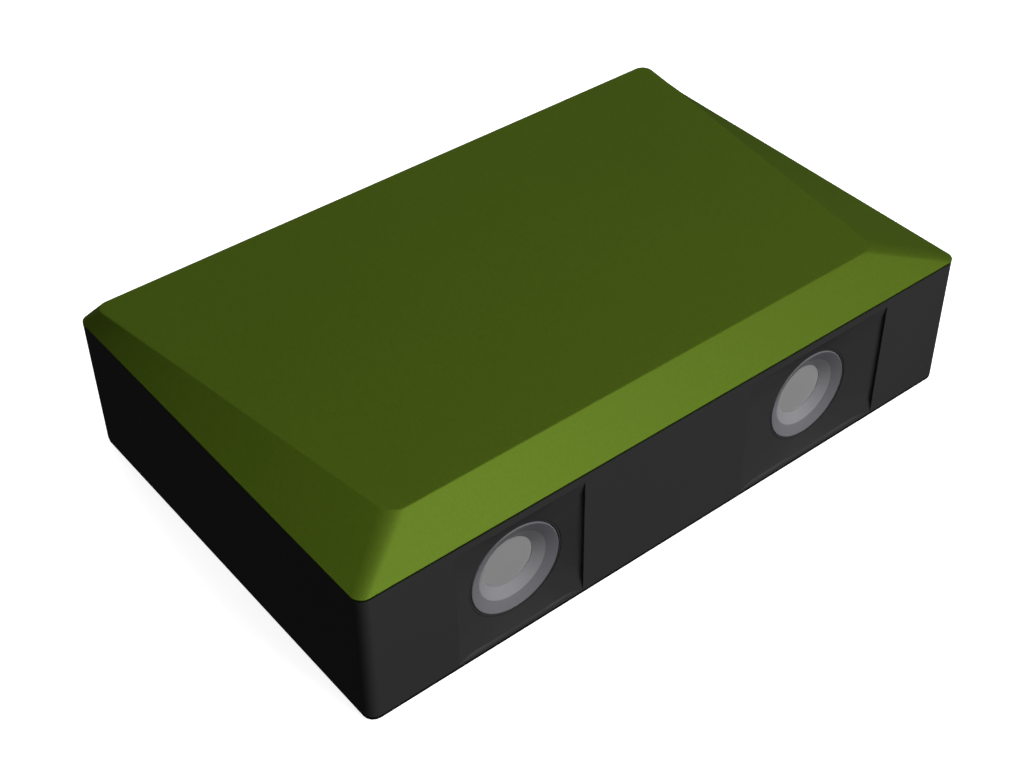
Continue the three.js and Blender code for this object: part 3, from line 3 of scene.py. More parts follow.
import bmesh
import bpy
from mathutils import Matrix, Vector


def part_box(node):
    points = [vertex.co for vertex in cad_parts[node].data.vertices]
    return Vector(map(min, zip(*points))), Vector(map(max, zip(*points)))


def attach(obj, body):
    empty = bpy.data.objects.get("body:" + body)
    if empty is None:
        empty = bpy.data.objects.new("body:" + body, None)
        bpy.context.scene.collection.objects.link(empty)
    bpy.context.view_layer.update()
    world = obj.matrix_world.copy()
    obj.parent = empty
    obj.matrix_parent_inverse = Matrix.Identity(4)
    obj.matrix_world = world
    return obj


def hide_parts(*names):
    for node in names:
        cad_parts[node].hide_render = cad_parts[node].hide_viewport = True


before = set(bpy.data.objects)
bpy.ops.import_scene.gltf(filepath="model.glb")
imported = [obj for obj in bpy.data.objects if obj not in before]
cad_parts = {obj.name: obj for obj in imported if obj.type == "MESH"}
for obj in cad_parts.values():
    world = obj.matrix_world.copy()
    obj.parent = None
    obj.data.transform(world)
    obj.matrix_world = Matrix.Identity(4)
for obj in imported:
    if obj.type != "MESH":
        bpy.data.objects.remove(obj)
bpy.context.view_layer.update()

# Camera: it stands in front of the scanner's left end and well above it, and looks down on the cover and
# the two lens windows. The small shift keeps the scanner where it lies in the picture.
camera = bpy.data.objects.new("camera", bpy.data.cameras.new("camera"))
camera.data.sensor_width = 36
camera.data.lens = 61.25
camera.data.shift_x = -0.03487
camera.data.shift_y = -0.0035
camera.location = (-0.2300, -0.2879, 0.3294)
camera.rotation_euler = [math.radians(turn) for turn in (49.10, -0.03, -39.32)]
bpy.context.scene.collection.objects.link(camera)
bpy.context.scene.camera = camera


# Studio: a lit white table top, a key light high above the right end, and a light for the front bevel that
# shows in gloss alone. Two soft fills, in front and behind, stay out of reflections. The room is dim and
# darkest below, and no light comes from the left, so that end stays dark.
class Signal:
    """A socket of a shader node that takes part in sums."""

    def __init__(self, socket):
        self.socket = socket

    def sum_with(self, operation, first, second):
        node = self.socket.id_data.nodes.new("ShaderNodeMath")
        node.operation = operation
        feed(node.inputs[0], first)
        feed(node.inputs[1], second)
        return Signal(node.outputs[0])

    def __add__(self, other):
        return self.sum_with("ADD", self, other)

    def __radd__(self, other):
        return self.sum_with("ADD", other, self)

    def __mul__(self, other):
        return self.sum_with("MULTIPLY", self, other)

    def __rmul__(self, other):
        return self.sum_with("MULTIPLY", other, self)


def feed(socket, value):
    """Links a signal to a socket, or sets the socket to a number or a colour."""
    if isinstance(value, Signal):
        socket.id_data.links.new(value.socket, socket)
    elif socket.type == "RGBA" and len(value) == 3:
        socket.default_value = (*value, 1)
    else:
        socket.default_value = value


class Finish:
    """A surface finish: one material whose shader takes numbers, colours and signals."""

    def __init__(self, name, **values):
        self.material = bpy.data.materials.new(name)
        self.material.use_nodes = True
        self.tree = self.material.node_tree
        self.shader = self.tree.nodes["Principled BSDF"]
        self.place = self.node("ShaderNodeTexCoord", output="Object")
        self.set(**values)

    def node(self, kind, settings=None, output=0, **values):
        """Adds a node: its settings first, then what its sockets get. It gives back one output."""
        node = self.tree.nodes.new(kind)
        for name, setting in (settings or {}).items():
            setattr(node, name, setting)
        for name, value in values.items():
            feed(self.find(node, name), value)
        return Signal(node.outputs[output])

    @staticmethod
    def find(node, name):
        """The usable input whose name is this, with _ for a blank."""
        wanted = name.replace("_", " ")
        return next(s for s in node.inputs if s.enabled and s.name == wanted)

    def set(self, **values):
        for name, value in values.items():
            feed(self.find(self.shader, name), value)

    def noise(self, size, detail=2, roughness=0.5, place=None):
        """Noise from 0 to 1 with spots of about this size, in metres."""
        return self.node(
            "ShaderNodeTexNoise",
            Vector=place or self.place,
            Scale=0.5 / size,
            Detail=detail,
            Roughness=roughness,
        )

    def drawn_out(self, x, y, z):
        """Places squeezed by these shares, so that a noise on them is drawn out where a share is small."""
        return self.node("ShaderNodeMapping", Vector=self.place, Scale=(x, y, z))

    def blend(self, share, first, second):
        """A colour between two colours."""
        return self.node(
            "ShaderNodeMix",
            {"data_type": "RGBA"},
            output=2,
            Factor=share,
            A=first,
            B=second,
        )

    def relief(self, height, depth):
        """Raises the surface by a height signal of 0 to 1, to this depth in metres."""
        self.set(Normal=self.node("ShaderNodeBump", Height=height, Distance=depth, Strength=1.0))


def srgb(red, green, blue):
    """A screen colour, 0 to 255, as linear numbers."""
    shares = [value / 255 for value in (red, green, blue)]
    return tuple(s / 12.92 if s <= 0.04045 else ((s + 0.055) / 1.055) ** 2.4 for s in shares)


def mesh_object(name, shape, finish, smooth=35):
    """Turns a bmesh into an object with one finish, smooth except across edges sharper than an angle."""
    mesh = bpy.data.meshes.new(name)
    shape.to_mesh(mesh)
    shape.free()
    mesh.shade_smooth()
    mesh.set_sharp_from_angle(angle=math.radians(smooth))
    mesh.materials.append(finish.material)
    made = bpy.data.objects.new(name, mesh)
    bpy.context.scene.collection.objects.link(made)
    return made


table_white = Finish("table_white", Roughness=0.9, Emission_Color=(1, 1, 1), Emission_Strength=0.85)
table_white.set(Base_Color=table_white.blend(table_white.noise(0.2), (0.85, 0.85, 0.85), (0.87, 0.87, 0.87)))
table_shape = bmesh.new()
table_reach = 30
bmesh.ops.create_grid(table_shape, x_segments=1, y_segments=1, size=table_reach)
table_top = mesh_object("table_top", table_shape, table_white)
table_top.visible_diffuse = False
table_top.visible_glossy = False


def panel(name, heading, height, distance, size, power):
    """A square soft light that looks at the scanner. Heading 0 is in front and 90 at its right end."""
    lamp = bpy.data.lights.new(name, "AREA")
    lamp.shape = "SQUARE"
    lamp.size = size
    lamp.energy = power
    across = math.cos(math.radians(height))
    place = distance * Vector(
        (
            across * math.sin(math.radians(heading)),
            -across * math.cos(math.radians(heading)),
            math.sin(math.radians(height)),
        )
    )
    holder = bpy.data.objects.new(name, lamp)
    holder.location = place
    holder.rotation_euler = (-place).to_track_quat("-Z", "Y").to_euler()
    bpy.context.scene.collection.objects.link(holder)
    return holder


panel("key_light", heading=95, height=73.5, distance=2.5, size=0.5, power=12)
bevel_shine = panel("bevel_shine", heading=48, height=55, distance=2.0, size=0.8, power=9)
bevel_shine.visible_diffuse = False
front_fill = panel("front_fill", heading=25, height=39, distance=2.0, size=1.3, power=41)
front_fill.visible_glossy = False
back_fill = panel("back_fill", heading=176, height=14, distance=2.0, size=0.8, power=18)
back_fill.visible_glossy = False
room = bpy.data.worlds.new("room")
bpy.context.scene.world = room
room.use_nodes = True
walls = room.node_tree.nodes["Background"]
walls.inputs["Color"].default_value = (1, 1, 1, 1)
sight = room.node_tree.nodes.new("ShaderNodeTexCoord")
rise = room.node_tree.nodes.new("ShaderNodeSeparateXYZ")
glow = room.node_tree.nodes.new("ShaderNodeMapRange")
for socket, level in (("From Min", -0.05), ("From Max", 0.2), ("To Min", 0.02), ("To Max", 0.13)):
    glow.inputs[socket].default_value = level
room.node_tree.links.new(sight.outputs["Generated"], rise.inputs["Vector"])
room.node_tree.links.new(rise.outputs["Z"], glow.inputs["Value"])
room.node_tree.links.new(glow.outputs["Result"], walls.inputs["Strength"])
bpy.context.scene.view_settings.view_transform = "Standard"


# Base housing: the dark lower casing with both lens windows moulded in its front wall. It is injection
# moulded in black plastic with a fine spark-eroded texture and small radii on its edges. Its bottom edge is
# sharp. The narrow chamfer above it is painted near black, as painted shade for the unlit underside edge.
# Its top edge lies a little under the solid's.
def merged(node):
    """A closed copy of a CAD node's loose triangles."""
    shape = bmesh.new()
    shape.from_mesh(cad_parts[node].data)
    bmesh.ops.remove_doubles(shape, verts=shape.verts, dist=1e-6)
    return shape


def rounded(piece, radius, segments=2, angle=40):
    """Rounds the sharp edges of a piece with a live bevel."""
    edge = piece.modifiers.new("rounded_edges", "BEVEL")
    edge.width = radius
    edge.segments = segments
    edge.limit_method = "ANGLE"
    edge.angle_limit = math.radians(angle)
    edge.use_clamp_overlap = True
    weights = piece.modifiers.new("flat_faces", "WEIGHTED_NORMAL")
    weights.keep_sharp = True
    return piece


def standing_for(piece, slot, *nodes, body="body"):
    """Lets a piece ride on a body and stand for its CAD nodes."""
    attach(piece, body)
    if nodes:
        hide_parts(*nodes)
    return piece


casing_black = Finish("casing_black", Specular_IOR_Level=0.3)
grain = casing_black.noise(0.0003, 3, 0.6)
cloud = casing_black.noise(0.03, 2)
casing_black.set(
    Base_Color=casing_black.blend(grain * 0.5 + cloud * 0.5, srgb(50, 50, 50), srgb(58, 58, 58)),
    Roughness=0.5 + 0.1 * grain + 0.06 * cloud,
)
casing_black.relief(grain, 0.00002)
# Painted shade: a near-black finish on the bottom chamfer, standing for the shade where light misses the
# underside edge.
rim_painted_shade = Finish("rim_painted_shade", Specular_IOR_Level=0.15)
rim_painted_shade_grain = rim_painted_shade.noise(0.0003, 2)
rim_painted_shade.set(
    Base_Color=rim_painted_shade.blend(rim_painted_shade_grain, (0.003, 0.003, 0.003), (0.006, 0.006, 0.006)),
    Roughness=0.7 + 0.1 * rim_painted_shade_grain,
)
base_low, base_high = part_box("base_housing")
base_shape = merged("base_housing")
same_level = 0.00001
chamfer = 0.0007
rim_inset = 0.00015
rim_drop = 0.0003
top_drop = 0.00055
chamfer_tilt = (-0.8, -0.6)
casing_edge = 0.00015
# The bottom chamfer's faces, which take the painted shade.
painted_shade_faces = [
    face
    for face in base_shape.faces
    if chamfer_tilt[0] < face.normal.z < chamfer_tilt[1]
    and face.calc_center_median().z < base_low.z + chamfer
]
outward = {}
for face in painted_shade_faces:
    face.material_index = 1
    for vert in face.verts:
        if vert.co.z < base_low.z + same_level:
            outward[vert] = outward.get(vert, Vector()) + Vector((face.normal.x, face.normal.y, 0))
for vert, away in outward.items():
    vert.co += (chamfer - rim_inset) * away.normalized()
for vert in base_shape.verts:
    if abs(vert.co.z - base_low.z) < same_level:
        vert.co.z -= rim_drop
    elif abs(vert.co.z - base_high.z) < same_level:
        vert.co.z -= top_drop
base = rounded(mesh_object("moulded_base", base_shape, casing_black), casing_edge)
base.data.materials.append(rim_painted_shade.material)
standing_for(base, "base_plastic", "base_housing")


# Feet: four discs of soft black rubber, pressed into round recesses in the underside. Each stands on a
# narrow rim round a shallow dish.
def spun(profile, centre, axis, steps):
    """A closed shape turned from points of (radius, place along the axis) about an axis through centre."""
    shape = bmesh.new()
    along = Vector(axis)
    outward = along.orthogonal().normalized()
    points = [shape.verts.new(Vector(centre) + outward * r + along * a) for r, a in profile]
    for first, second in zip(points, points[1:]):
        shape.edges.new((first, second))
    bmesh.ops.spin(
        shape,
        geom=shape.verts[:] + shape.edges[:],
        cent=centre,
        axis=axis,
        angle=math.tau,
        steps=steps,
        use_merge=True,
    )
    bmesh.ops.remove_doubles(shape, verts=shape.verts, dist=1e-7)
    bmesh.ops.recalc_face_normals(shape, faces=shape.faces)
    return shape


foot_black = Finish("foot_black", Specular_IOR_Level=0.3)
foot_grain = foot_black.noise(0.0002, 2)
foot_black.set(
    Base_Color=foot_black.blend(foot_grain, (0.012, 0.012, 0.012), (0.022, 0.022, 0.022)),
    Roughness=0.75 + 0.15 * foot_grain,
)
foot_black.relief(foot_grain, 0.00002)
dish_depth = 0.0002
dish_floor_share = 0.5
dish_mouth_share = 0.55
rest_inset = 0.0009
shoulder_inset = 0.0004
shoulder_rise = 0.00015
side_rise = 0.0007
for number in range(1, 5):
    low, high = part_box(f"rubber_foot_{number}")
    middle = ((low.x + high.x) / 2, (low.y + high.y) / 2, 0)
    radius = (high.x - low.x) / 2
    foot_profile = [
        (0, dish_depth),
        (radius * dish_floor_share, dish_depth),
        (radius * dish_mouth_share, 0),
        (radius - rest_inset, 0),
        (radius - shoulder_inset, shoulder_rise),
        (radius, side_rise),
        (radius, high.z),
        (0, high.z),
    ]
    foot = mesh_object(f"foot_pad_{number}", spun(foot_profile, middle, (0, 0, 1), steps=48), foot_black)
    standing_for(foot, "foot_rubber", f"rubber_foot_{number}")

# Tripod insert: a brass bush for a quarter-inch thread, turned on a lathe and pressed into the boss in the
# middle of the underside. Closed rings at the thread's pitch stand for its turns.
insert_brass = Finish("insert_brass", Metallic=1.0)
tarnish = insert_brass.noise(0.0012, 3)
insert_brass.set(
    Base_Color=insert_brass.blend(tarnish, (0.42, 0.27, 0.1), (0.62, 0.43, 0.18)),
    Roughness=0.24 + 0.16 * tarnish,
)
insert_brass.relief(insert_brass.noise(0.0002, 2, place=insert_brass.drawn_out(1, 1, 0.1)), 0.00001)
low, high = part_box("tripod_insert")
insert_middle = ((low.x + high.x) / 2, (low.y + high.y) / 2, 0)
insert_radius = (high.x - low.x) / 2
thread_pitch = 0.00127
thread_crest = 0.00265
thread_root = 0.00317
thread_lead = 0.0003
plain_length = 0.0012
crest_start_share = 0.4
crest_end_share = 0.55
insert_edge = 0.0002
insert_profile = [(insert_radius, low.z + insert_edge), (insert_radius, high.z), (thread_root, high.z)]
turns = int((high.z - low.z - plain_length) / thread_pitch)
for turn in range(turns):
    top = high.z - thread_lead - turn * thread_pitch
    insert_profile += [
        (thread_root, top),
        (thread_crest, top - thread_pitch * crest_start_share),
        (thread_crest, top - thread_pitch * crest_end_share),
    ]
insert_profile += [
    (thread_root + insert_edge, low.z),
    (insert_radius - insert_edge, low.z),
    (insert_radius, low.z + insert_edge),
]
bush_shape = spun(insert_profile, insert_middle, (0, 0, 1), steps=64)
bush = mesh_object("threaded_bush", bush_shape, insert_brass, smooth=20)
standing_for(bush, "brass_insert", "tripod_insert")

# Cover: a moulded shell in green paint with fine metal flake. Its level top is a trapezoid, and the bevels
# at its ends twist from steep at the back to shallow in front. Four screws from below hold it on the base.
cover_green = Finish("cover_green", Metallic=0.7)
flakes_a_metre = 3500
flake = cover_green.node(
    "ShaderNodeTexVoronoi", output="Color", Vector=cover_green.place, Scale=flakes_a_metre
)
flake_light = cover_green.node("ShaderNodeSeparateColor", Color=flake)
paint_cloud = cover_green.noise(0.05, 2)
cover_green.set(
    Base_Color=cover_green.blend(flake_light * 0.6 + paint_cloud * 0.4, srgb(81, 105, 10), srgb(91, 117, 15)),
    Roughness=0.44 + 0.05 * flake_light + 0.04 * paint_cloud,
)
cover_green.relief(cover_green.noise(0.0006, 2), 0.000008)

cover_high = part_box("top_cover")[1]
half_width = cover_high.x
cover_front = base_low.y
cover_rear = base_high.y
parting_gap = 0.0001
parting = base_high.z + parting_gap - top_drop
lip = 0.0006
wall = 0.0022
top_inset_front = 0.0138
top_inset_rear = 0.004
top_inset_side_front = 0.0191
top_inset_side_rear = 0.0032
top_front = cover_front + top_inset_front
top_rear = cover_rear - top_inset_rear
top_half_front = half_width - top_inset_side_front
top_half_rear = half_width - top_inset_side_rear
casing_corner = 0.0032
top_front_corner = 0.005
top_rear_corner = 0.0034
corner_segments = 8
longest_corner_edge = 0.02
side_cuts = 23
top_edge = 0.0003
top_edge_segments = 3
same_height = 0.000001


def outline(shape, corners, radii, height, segments):
    """A level face with rounded corners."""
    verts = [shape.verts.new((x, y, height)) for x, y in corners]
    shape.faces.new(verts)
    for vert, radius in zip(verts, radii):
        sides = [edge.other_vert(vert).co - vert.co for edge in vert.link_edges]
        half_angle = sides[0].angle(sides[1]) / 2
        bmesh.ops.bevel(
            shape,
            geom=[vert],
            offset=radius / math.tan(half_angle),
            offset_type="OFFSET",
            segments=segments,
            profile=0.5,
            affect="VERTICES",
            material=-1,
        )


cover_shape = bmesh.new()
casing_corners = [
    (half_width, cover_front),
    (half_width, cover_rear),
    (-half_width, cover_rear),
    (-half_width, cover_front),
]
top_corners = [
    (top_half_front, top_front),
    (top_half_rear, top_rear),
    (-top_half_rear, top_rear),
    (-top_half_front, top_front),
]
top_radii = (top_front_corner, top_rear_corner, top_rear_corner, top_front_corner)
outline(cover_shape, casing_corners, [casing_corner] * 4, parting, corner_segments)
outline(cover_shape, top_corners, top_radii, cover_high.z, corner_segments)
long_sides = [edge for edge in cover_shape.edges if edge.calc_length() > longest_corner_edge]
bmesh.ops.subdivide_edges(cover_shape, edges=long_sides, cuts=side_cuts)
foot_loop = [edge for edge in cover_shape.edges if edge.verts[0].co.z < parting + lip]
top_loop = [edge for edge in cover_shape.edges if edge.verts[0].co.z > parting + lip]
low_face = [face for face in cover_shape.faces if face.calc_center_median().z < parting + lip]
bmesh.ops.delete(cover_shape, geom=low_face, context="FACES_ONLY")
risen = bmesh.ops.extrude_edge_only(cover_shape, edges=foot_loop)["geom"]
lip_verts = [item for item in risen if isinstance(item, bmesh.types.BMVert)]
lip_loop = [item for item in risen if isinstance(item, bmesh.types.BMEdge)]
bmesh.ops.translate(cover_shape, verts=lip_verts, vec=(0, 0, lip))
bmesh.ops.bridge_loops(cover_shape, edges=lip_loop + top_loop)
bmesh.ops.recalc_face_normals(cover_shape, faces=cover_shape.faces)
top_loop = [
    edge
    for edge in cover_shape.edges
    if all(vert.co.z > cover_high.z - same_height for vert in edge.verts)
]
bmesh.ops.bevel(
    cover_shape,
    geom=top_loop,
    offset=top_edge,
    offset_type="OFFSET",
    segments=top_edge_segments,
    profile=0.5,
    affect="EDGES",
    material=-1,
)
cover = mesh_object("painted_cover", cover_shape, cover_green, smooth=30)
shell = cover.modifiers.new("wall", "SOLIDIFY")
shell.thickness = wall
shell.offset = -1
weights = cover.modifiers.new("flat_faces", "WEIGHTED_NORMAL")
weights.keep_sharp = True
standing_for(cover, "cover_green", "top_cover")

# Lens hoods: in each window a satin grey ring, turned in two steps that narrow like a funnel to the glass.
# The steps keep stray light off it. The inner one is a lighter grey.
hood_dark = Finish("hood_dark", Specular_IOR_Level=0.5)
hood_turning = hood_dark.noise(0.0006, 2)
hood_dark.set(
    Base_Color=hood_dark.blend(hood_turning, (0.164, 0.16, 0.177), (0.178, 0.174, 0.191)),
    Roughness=0.4 + 0.05 * hood_turning,
)
hood_pale = Finish("hood_pale", Specular_IOR_Level=0.5)
pale_turning = hood_pale.noise(0.0006, 2)
hood_pale.set(
    Base_Color=hood_pale.blend(pale_turning, (0.262, 0.259, 0.274), (0.28, 0.277, 0.293)),
    Roughness=0.4 + 0.05 * pale_turning,
)
step_radius = 0.0102
step_depth = 0.0013
throat_radius = 0.0075
throat_depth = 0.0031
throat_land = 0.0004
bore_play = 0.0008
hood_edge = 0.0003
hood_edge_turn = 0.0001
hood_edge_rise = 0.00005
step_edge = 0.0001
step_edge_rise = 0.00003
for side in ("camera", "projector"):
    low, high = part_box(f"{side}_lens_hood")
    radius = (high.x - low.x) / 2
    centre = ((low.x + high.x) / 2, 0, (low.z + high.z) / 2)
    bore = throat_radius + bore_play
    hood_profile = [
        (radius - hood_edge, low.y),
        (radius - hood_edge_turn, low.y + hood_edge_rise),
        (radius, low.y + hood_edge),
        (radius, high.y),
        (bore, high.y),
        (bore, low.y + throat_depth + throat_land),
        (throat_radius, low.y + throat_depth + throat_land),
        (throat_radius, low.y + throat_depth),
        (step_radius - step_edge, low.y + step_depth + step_edge),
        (step_radius + step_edge, low.y + step_depth - step_edge_rise),
        (radius - hood_edge, low.y),
    ]
    hood_shape = spun(hood_profile, centre, (0, 1, 0), steps=128)
    hood = mesh_object(f"{side}_hood_ring", hood_shape, hood_dark, smooth=12)
    hood.data.materials.append(hood_pale.material)
    for face in hood.data.polygons:
        from_axis = math.hypot(face.center.x - centre[0], face.center.z - centre[2])
        if from_axis < step_radius:
            face.material_index = 1
    standing_for(hood, "hood_grey", f"{side}_lens_hood")

# Front glasses: one nearly flat lens at the bottom of each hood, ground and polished, with a grey coating.
# Its opaque light grey face is painted reflection, a tone standing for what the glass mirrors.
# Painted reflection: the light grey base colour stands for the reflection the lens glass shows.
glass_painted_reflection = Finish("glass_painted_reflection", Coat_Weight=0.3, Coat_Roughness=0.1)
painted_reflection_mottle = glass_painted_reflection.noise(0.003, 2)
glass_painted_reflection.set(
    Base_Color=glass_painted_reflection.blend(painted_reflection_mottle, (0.328, 0.325, 0.325), (0.35, 0.347, 0.347)),
    Roughness=0.34 + 0.06 * painted_reflection_mottle,
)
throat_play = 0.00003
face_radius = throat_radius - throat_play
crown = 0.00012
seat_depth = 0.0005
cap_steps = 12
for side in ("camera", "projector"):
    low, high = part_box(f"{side}_front_lens")
    radius = (high.x - low.x) / 2
    seat = low.y + seat_depth
    centre = ((low.x + high.x) / 2, 0, (low.z + high.z) / 2)
    cap = [
        (face_radius * step / cap_steps, low.y + crown * (step / cap_steps) ** 2)
        for step in range(cap_steps + 1)
    ]
    rim = [(face_radius, seat), (radius, seat), (radius, high.y), (0, high.y)]
    glass_shape = spun([*cap, *rim], centre, (0, 1, 0), steps=96)
    glass = mesh_object(f"{side}_lens_glass", glass_shape, glass_painted_reflection)
    standing_for(glass, "lens_glass", f"{side}_front_lens")

# Lens seals: a thin ring of black rubber round each hood that keeps dust out of the window. It is pressed
# into the seat between hood and casing, and ends just behind the hood's front edge.
seal_black = Finish("seal_black", Specular_IOR_Level=0.25)
seal_grain = seal_black.noise(0.0002, 2)
seal_black.set(
    Base_Color=seal_black.blend(seal_grain, (0.03, 0.03, 0.03), (0.042, 0.042, 0.042)),
    Roughness=0.7 + 0.15 * seal_grain,
)
seal_play = 0.0001
seal_swell = 0.00015
seal_edge_share = 0.25
lip_reach = 0.0002
for side in ("camera", "projector"):
    low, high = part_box(f"{side}_lens_seal")
    hood_low, hood_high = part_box(f"{side}_lens_hood")
    inner_radius = (hood_high.x - hood_low.x) / 2 + seal_play
    radius = (high.x - low.x) / 2 + seal_swell
    edge = (radius - inner_radius) * seal_edge_share
    centre = ((low.x + high.x) / 2, 0, (low.z + high.z) / 2)
    lips = low.y - lip_reach
    seal_profile = [
        (inner_radius, lips + edge),
        (inner_radius + edge, lips),
        (radius - edge, lips),
        (radius, lips + edge),
        (radius, high.y),
        (inner_radius, high.y),
        (inner_radius, lips + edge),
    ]
    seal_shape = spun(seal_profile, centre, (0, 1, 0), steps=96)
    seal = mesh_object(f"{side}_seal_ring", seal_shape, seal_black)
    standing_for(seal, "seal_rubber", f"{side}_lens_seal")

# Power button: a round cap of satin black plastic with a dished face, pushed through the rear wall from
# inside and held by the flange behind the wall.
button_black = Finish("button_black", Specular_IOR_Level=0.4)
button_grain = button_black.noise(0.0004, 3)
button_black.set(
    Base_Color=button_black.blend(button_grain, (0.03, 0.03, 0.031), (0.045, 0.045, 0.046)),
    Roughness=0.36 + 0.1 * button_grain,
)
button_black.relief(button_grain, 0.00001)
low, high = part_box("power_button")
button_middle = ((low.x + high.x) / 2, 0, (low.z + high.z) / 2)
flange_radius = (high.x - low.x) / 2
flange_reach = 0.0012
flange_thickness = 0.001
flange_play = 0.0001
cap_radius = flange_radius - flange_reach
stem_radius = 0.001
stem_edge = 0.0002
rear_wall = 0.0025
flange_rear = base_high.y - rear_wall - flange_play
cap_edge = [(0, 0.0006), (0.00015, 0.0002), (0.0005, 0), (0.0009, 0.00005)]
cap_slope_share = 0.5
cap_slope_depth = 0.00028
cap_dish = 0.00035
button_profile = [
    (0, low.y),
    (stem_radius - stem_edge, low.y),
    (stem_radius, low.y + stem_edge),
    (stem_radius, flange_rear - flange_thickness),
    (flange_radius, flange_rear - flange_thickness),
    (flange_radius, flange_rear),
    (cap_radius, flange_rear),
]
button_profile += [(cap_radius - inset, high.y - depth) for inset, depth in cap_edge]
button_profile += [(cap_radius * cap_slope_share, high.y - cap_slope_depth), (0, high.y - cap_dish)]
button_shape = spun(button_profile, button_middle, (0, 1, 0), steps=64)
button = mesh_object("power_button_cap", button_shape, button_black, smooth=30)
standing_for(button, "button_plastic", "power_button", body="button")

# Data socket: a folded shell of plated steel with a black plastic tongue that carries four gilt contacts.
# It is soldered to the control board and shows in an opening of the rear wall.
socket_steel = Finish("socket_steel", Metallic=1.0)
steel_streaks = socket_steel.noise(0.0008, 3, place=socket_steel.drawn_out(1, 0.15, 1))
socket_steel.set(
    Base_Color=socket_steel.blend(steel_streaks, (0.48, 0.48, 0.49), (0.6, 0.6, 0.61)),
    Roughness=0.26 + 0.14 * steel_streaks,
)
shell_edge = 0.00012
shell_piece = rounded(mesh_object("data_socket_shell", merged("usb_socket"), socket_steel), shell_edge)
standing_for(shell_piece, "screw_steel", "usb_socket")
tongue_black = Finish("tongue_black", Specular_IOR_Level=0.4)
tongue_grain = tongue_black.noise(0.0003, 2)
tongue_black.set(
    Base_Color=tongue_black.blend(tongue_grain, (0.014, 0.014, 0.015), (0.022, 0.022, 0.023)),
    Roughness=0.45 + 0.15 * tongue_grain,
)
low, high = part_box("usb_socket")
socket_middle = Vector(((low.x + high.x) / 2, high.y, (low.z + high.z) / 2))


def brick(name, middle, size, finish, edge):
    """A block with finely rounded edges."""
    shape = bmesh.new()
    bmesh.ops.create_cube(shape, size=1)
    bmesh.ops.scale(shape, vec=size, verts=shape.verts)
    bmesh.ops.translate(shape, vec=middle, verts=shape.verts)
    return rounded(mesh_object(name, shape, finish), edge)


tongue_length = 0.0082
tongue_recess = 0.00095
tongue_edge = 0.0002
tongue_middle = socket_middle - Vector((0, tongue_recess + tongue_length / 2, 0))
tongue_size = (0.00564, tongue_length, 0.00324)
tongue = brick("data_socket_tongue", tongue_middle, tongue_size, tongue_black, tongue_edge)
standing_for(tongue, "socket_plastic")
contact_gilt = Finish("contact_gilt", Metallic=1.0)
gilt_wear = contact_gilt.noise(0.0004, 2)
contact_gilt.set(
    Base_Color=contact_gilt.blend(gilt_wear, (0.62, 0.42, 0.13), (0.8, 0.58, 0.22)),
    Roughness=0.2 + 0.15 * gilt_wear,
)
contact_pitch = 0.00125
contact_forward = 0.0003
contact_height = 0.00164
contact_size = (0.0006, 0.007, 0.0001)
contact_edge = 0.00003
for number in range(4):
    across = (number - 1.5) * contact_pitch
    contact_place = tongue_middle + Vector((across, contact_forward, contact_height))
    contact_name = f"data_contact_{number + 1}"
    contact = brick(contact_name, contact_place, contact_size, contact_gilt, contact_edge)
    standing_for(contact, "brass_insert")

# Power inlet: a barrel socket in glossy black plastic on the control board, with a plated pin in its bore.
# Its round nose fills a hole in the rear wall.
inlet_black = Finish("inlet_black", Specular_IOR_Level=0.5)
inlet_grain = inlet_black.noise(0.0005, 2)
inlet_black.set(
    Base_Color=inlet_black.blend(inlet_grain, (0.012, 0.012, 0.013), (0.02, 0.02, 0.021)),
    Roughness=0.3 + 0.12 * inlet_grain,
)
inlet_edge = 0.00015
inlet = rounded(mesh_object("power_inlet_body", merged("dc_inlet"), inlet_black), inlet_edge)
standing_for(inlet, "socket_plastic", "dc_inlet")
low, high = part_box("dc_inlet")
pin_height = 0.006
pin_radius = 0.00102
pin_recess = 0.00095
pin_depth = 0.0097
pin_tip = high.y - pin_recess
pin_root = high.y - pin_depth
pin_middle = ((low.x + high.x) / 2, 0, low.z + pin_height)
nose_length = 0.0006
nose_shoulder = 0.00015
shoulder_share = 0.8
nose_share = 0.45
pin_profile = [
    (0, pin_root),
    (pin_radius, pin_root),
    (pin_radius, pin_tip - nose_length),
    (pin_radius * shoulder_share, pin_tip - nose_shoulder),
    (pin_radius * nose_share, pin_tip),
    (0, pin_tip),
]
pin_shape = spun(pin_profile, pin_middle, (0, 1, 0), steps=32)
pin = mesh_object("power_inlet_pin", pin_shape, socket_steel)
standing_for(pin, "screw_steel")

# Cover screws: zinc-plated steel, driven from below through the base's posts into the cover's bosses. The
# threads are rolled, the heads pressed.
screw_zinc = Finish("screw_zinc", Metallic=1.0)
spangles_a_metre = 2500
zinc_spangle = screw_zinc.node(
    "ShaderNodeTexVoronoi", output="Color", Vector=screw_zinc.place, Scale=spangles_a_metre
)
zinc_light = screw_zinc.node("ShaderNodeSeparateColor", Color=zinc_spangle)
zinc_stain = screw_zinc.noise(0.001, 3)
screw_zinc.set(
    Base_Color=screw_zinc.blend(zinc_light * 0.4 + zinc_stain * 0.6, (0.4, 0.41, 0.42), (0.56, 0.56, 0.55)),
    Roughness=0.28 + 0.18 * zinc_stain,
)
screw_zinc.relief(zinc_stain, 0.000008)
screw_edge = 0.0001
for number in range(1, 5):
    node = f"cover_screw_{number}"
    screw = rounded(mesh_object(f"cover_fixing_{number}", merged(node), screw_zinc), screw_edge)
    standing_for(screw, "screw_steel", node)


# Optical bench: the plate that holds camera and projector at a fixed distance, milled from rolled
# aluminium, with four zinc-plated screws. The heat sinks are sawn from extruded bars of the same metal.
def dress(finish, *nodes):
    """Gives CAD nodes that keep their own shape a finish."""
    for name in nodes:
        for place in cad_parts[name].material_slots:
            place.material = finish.material


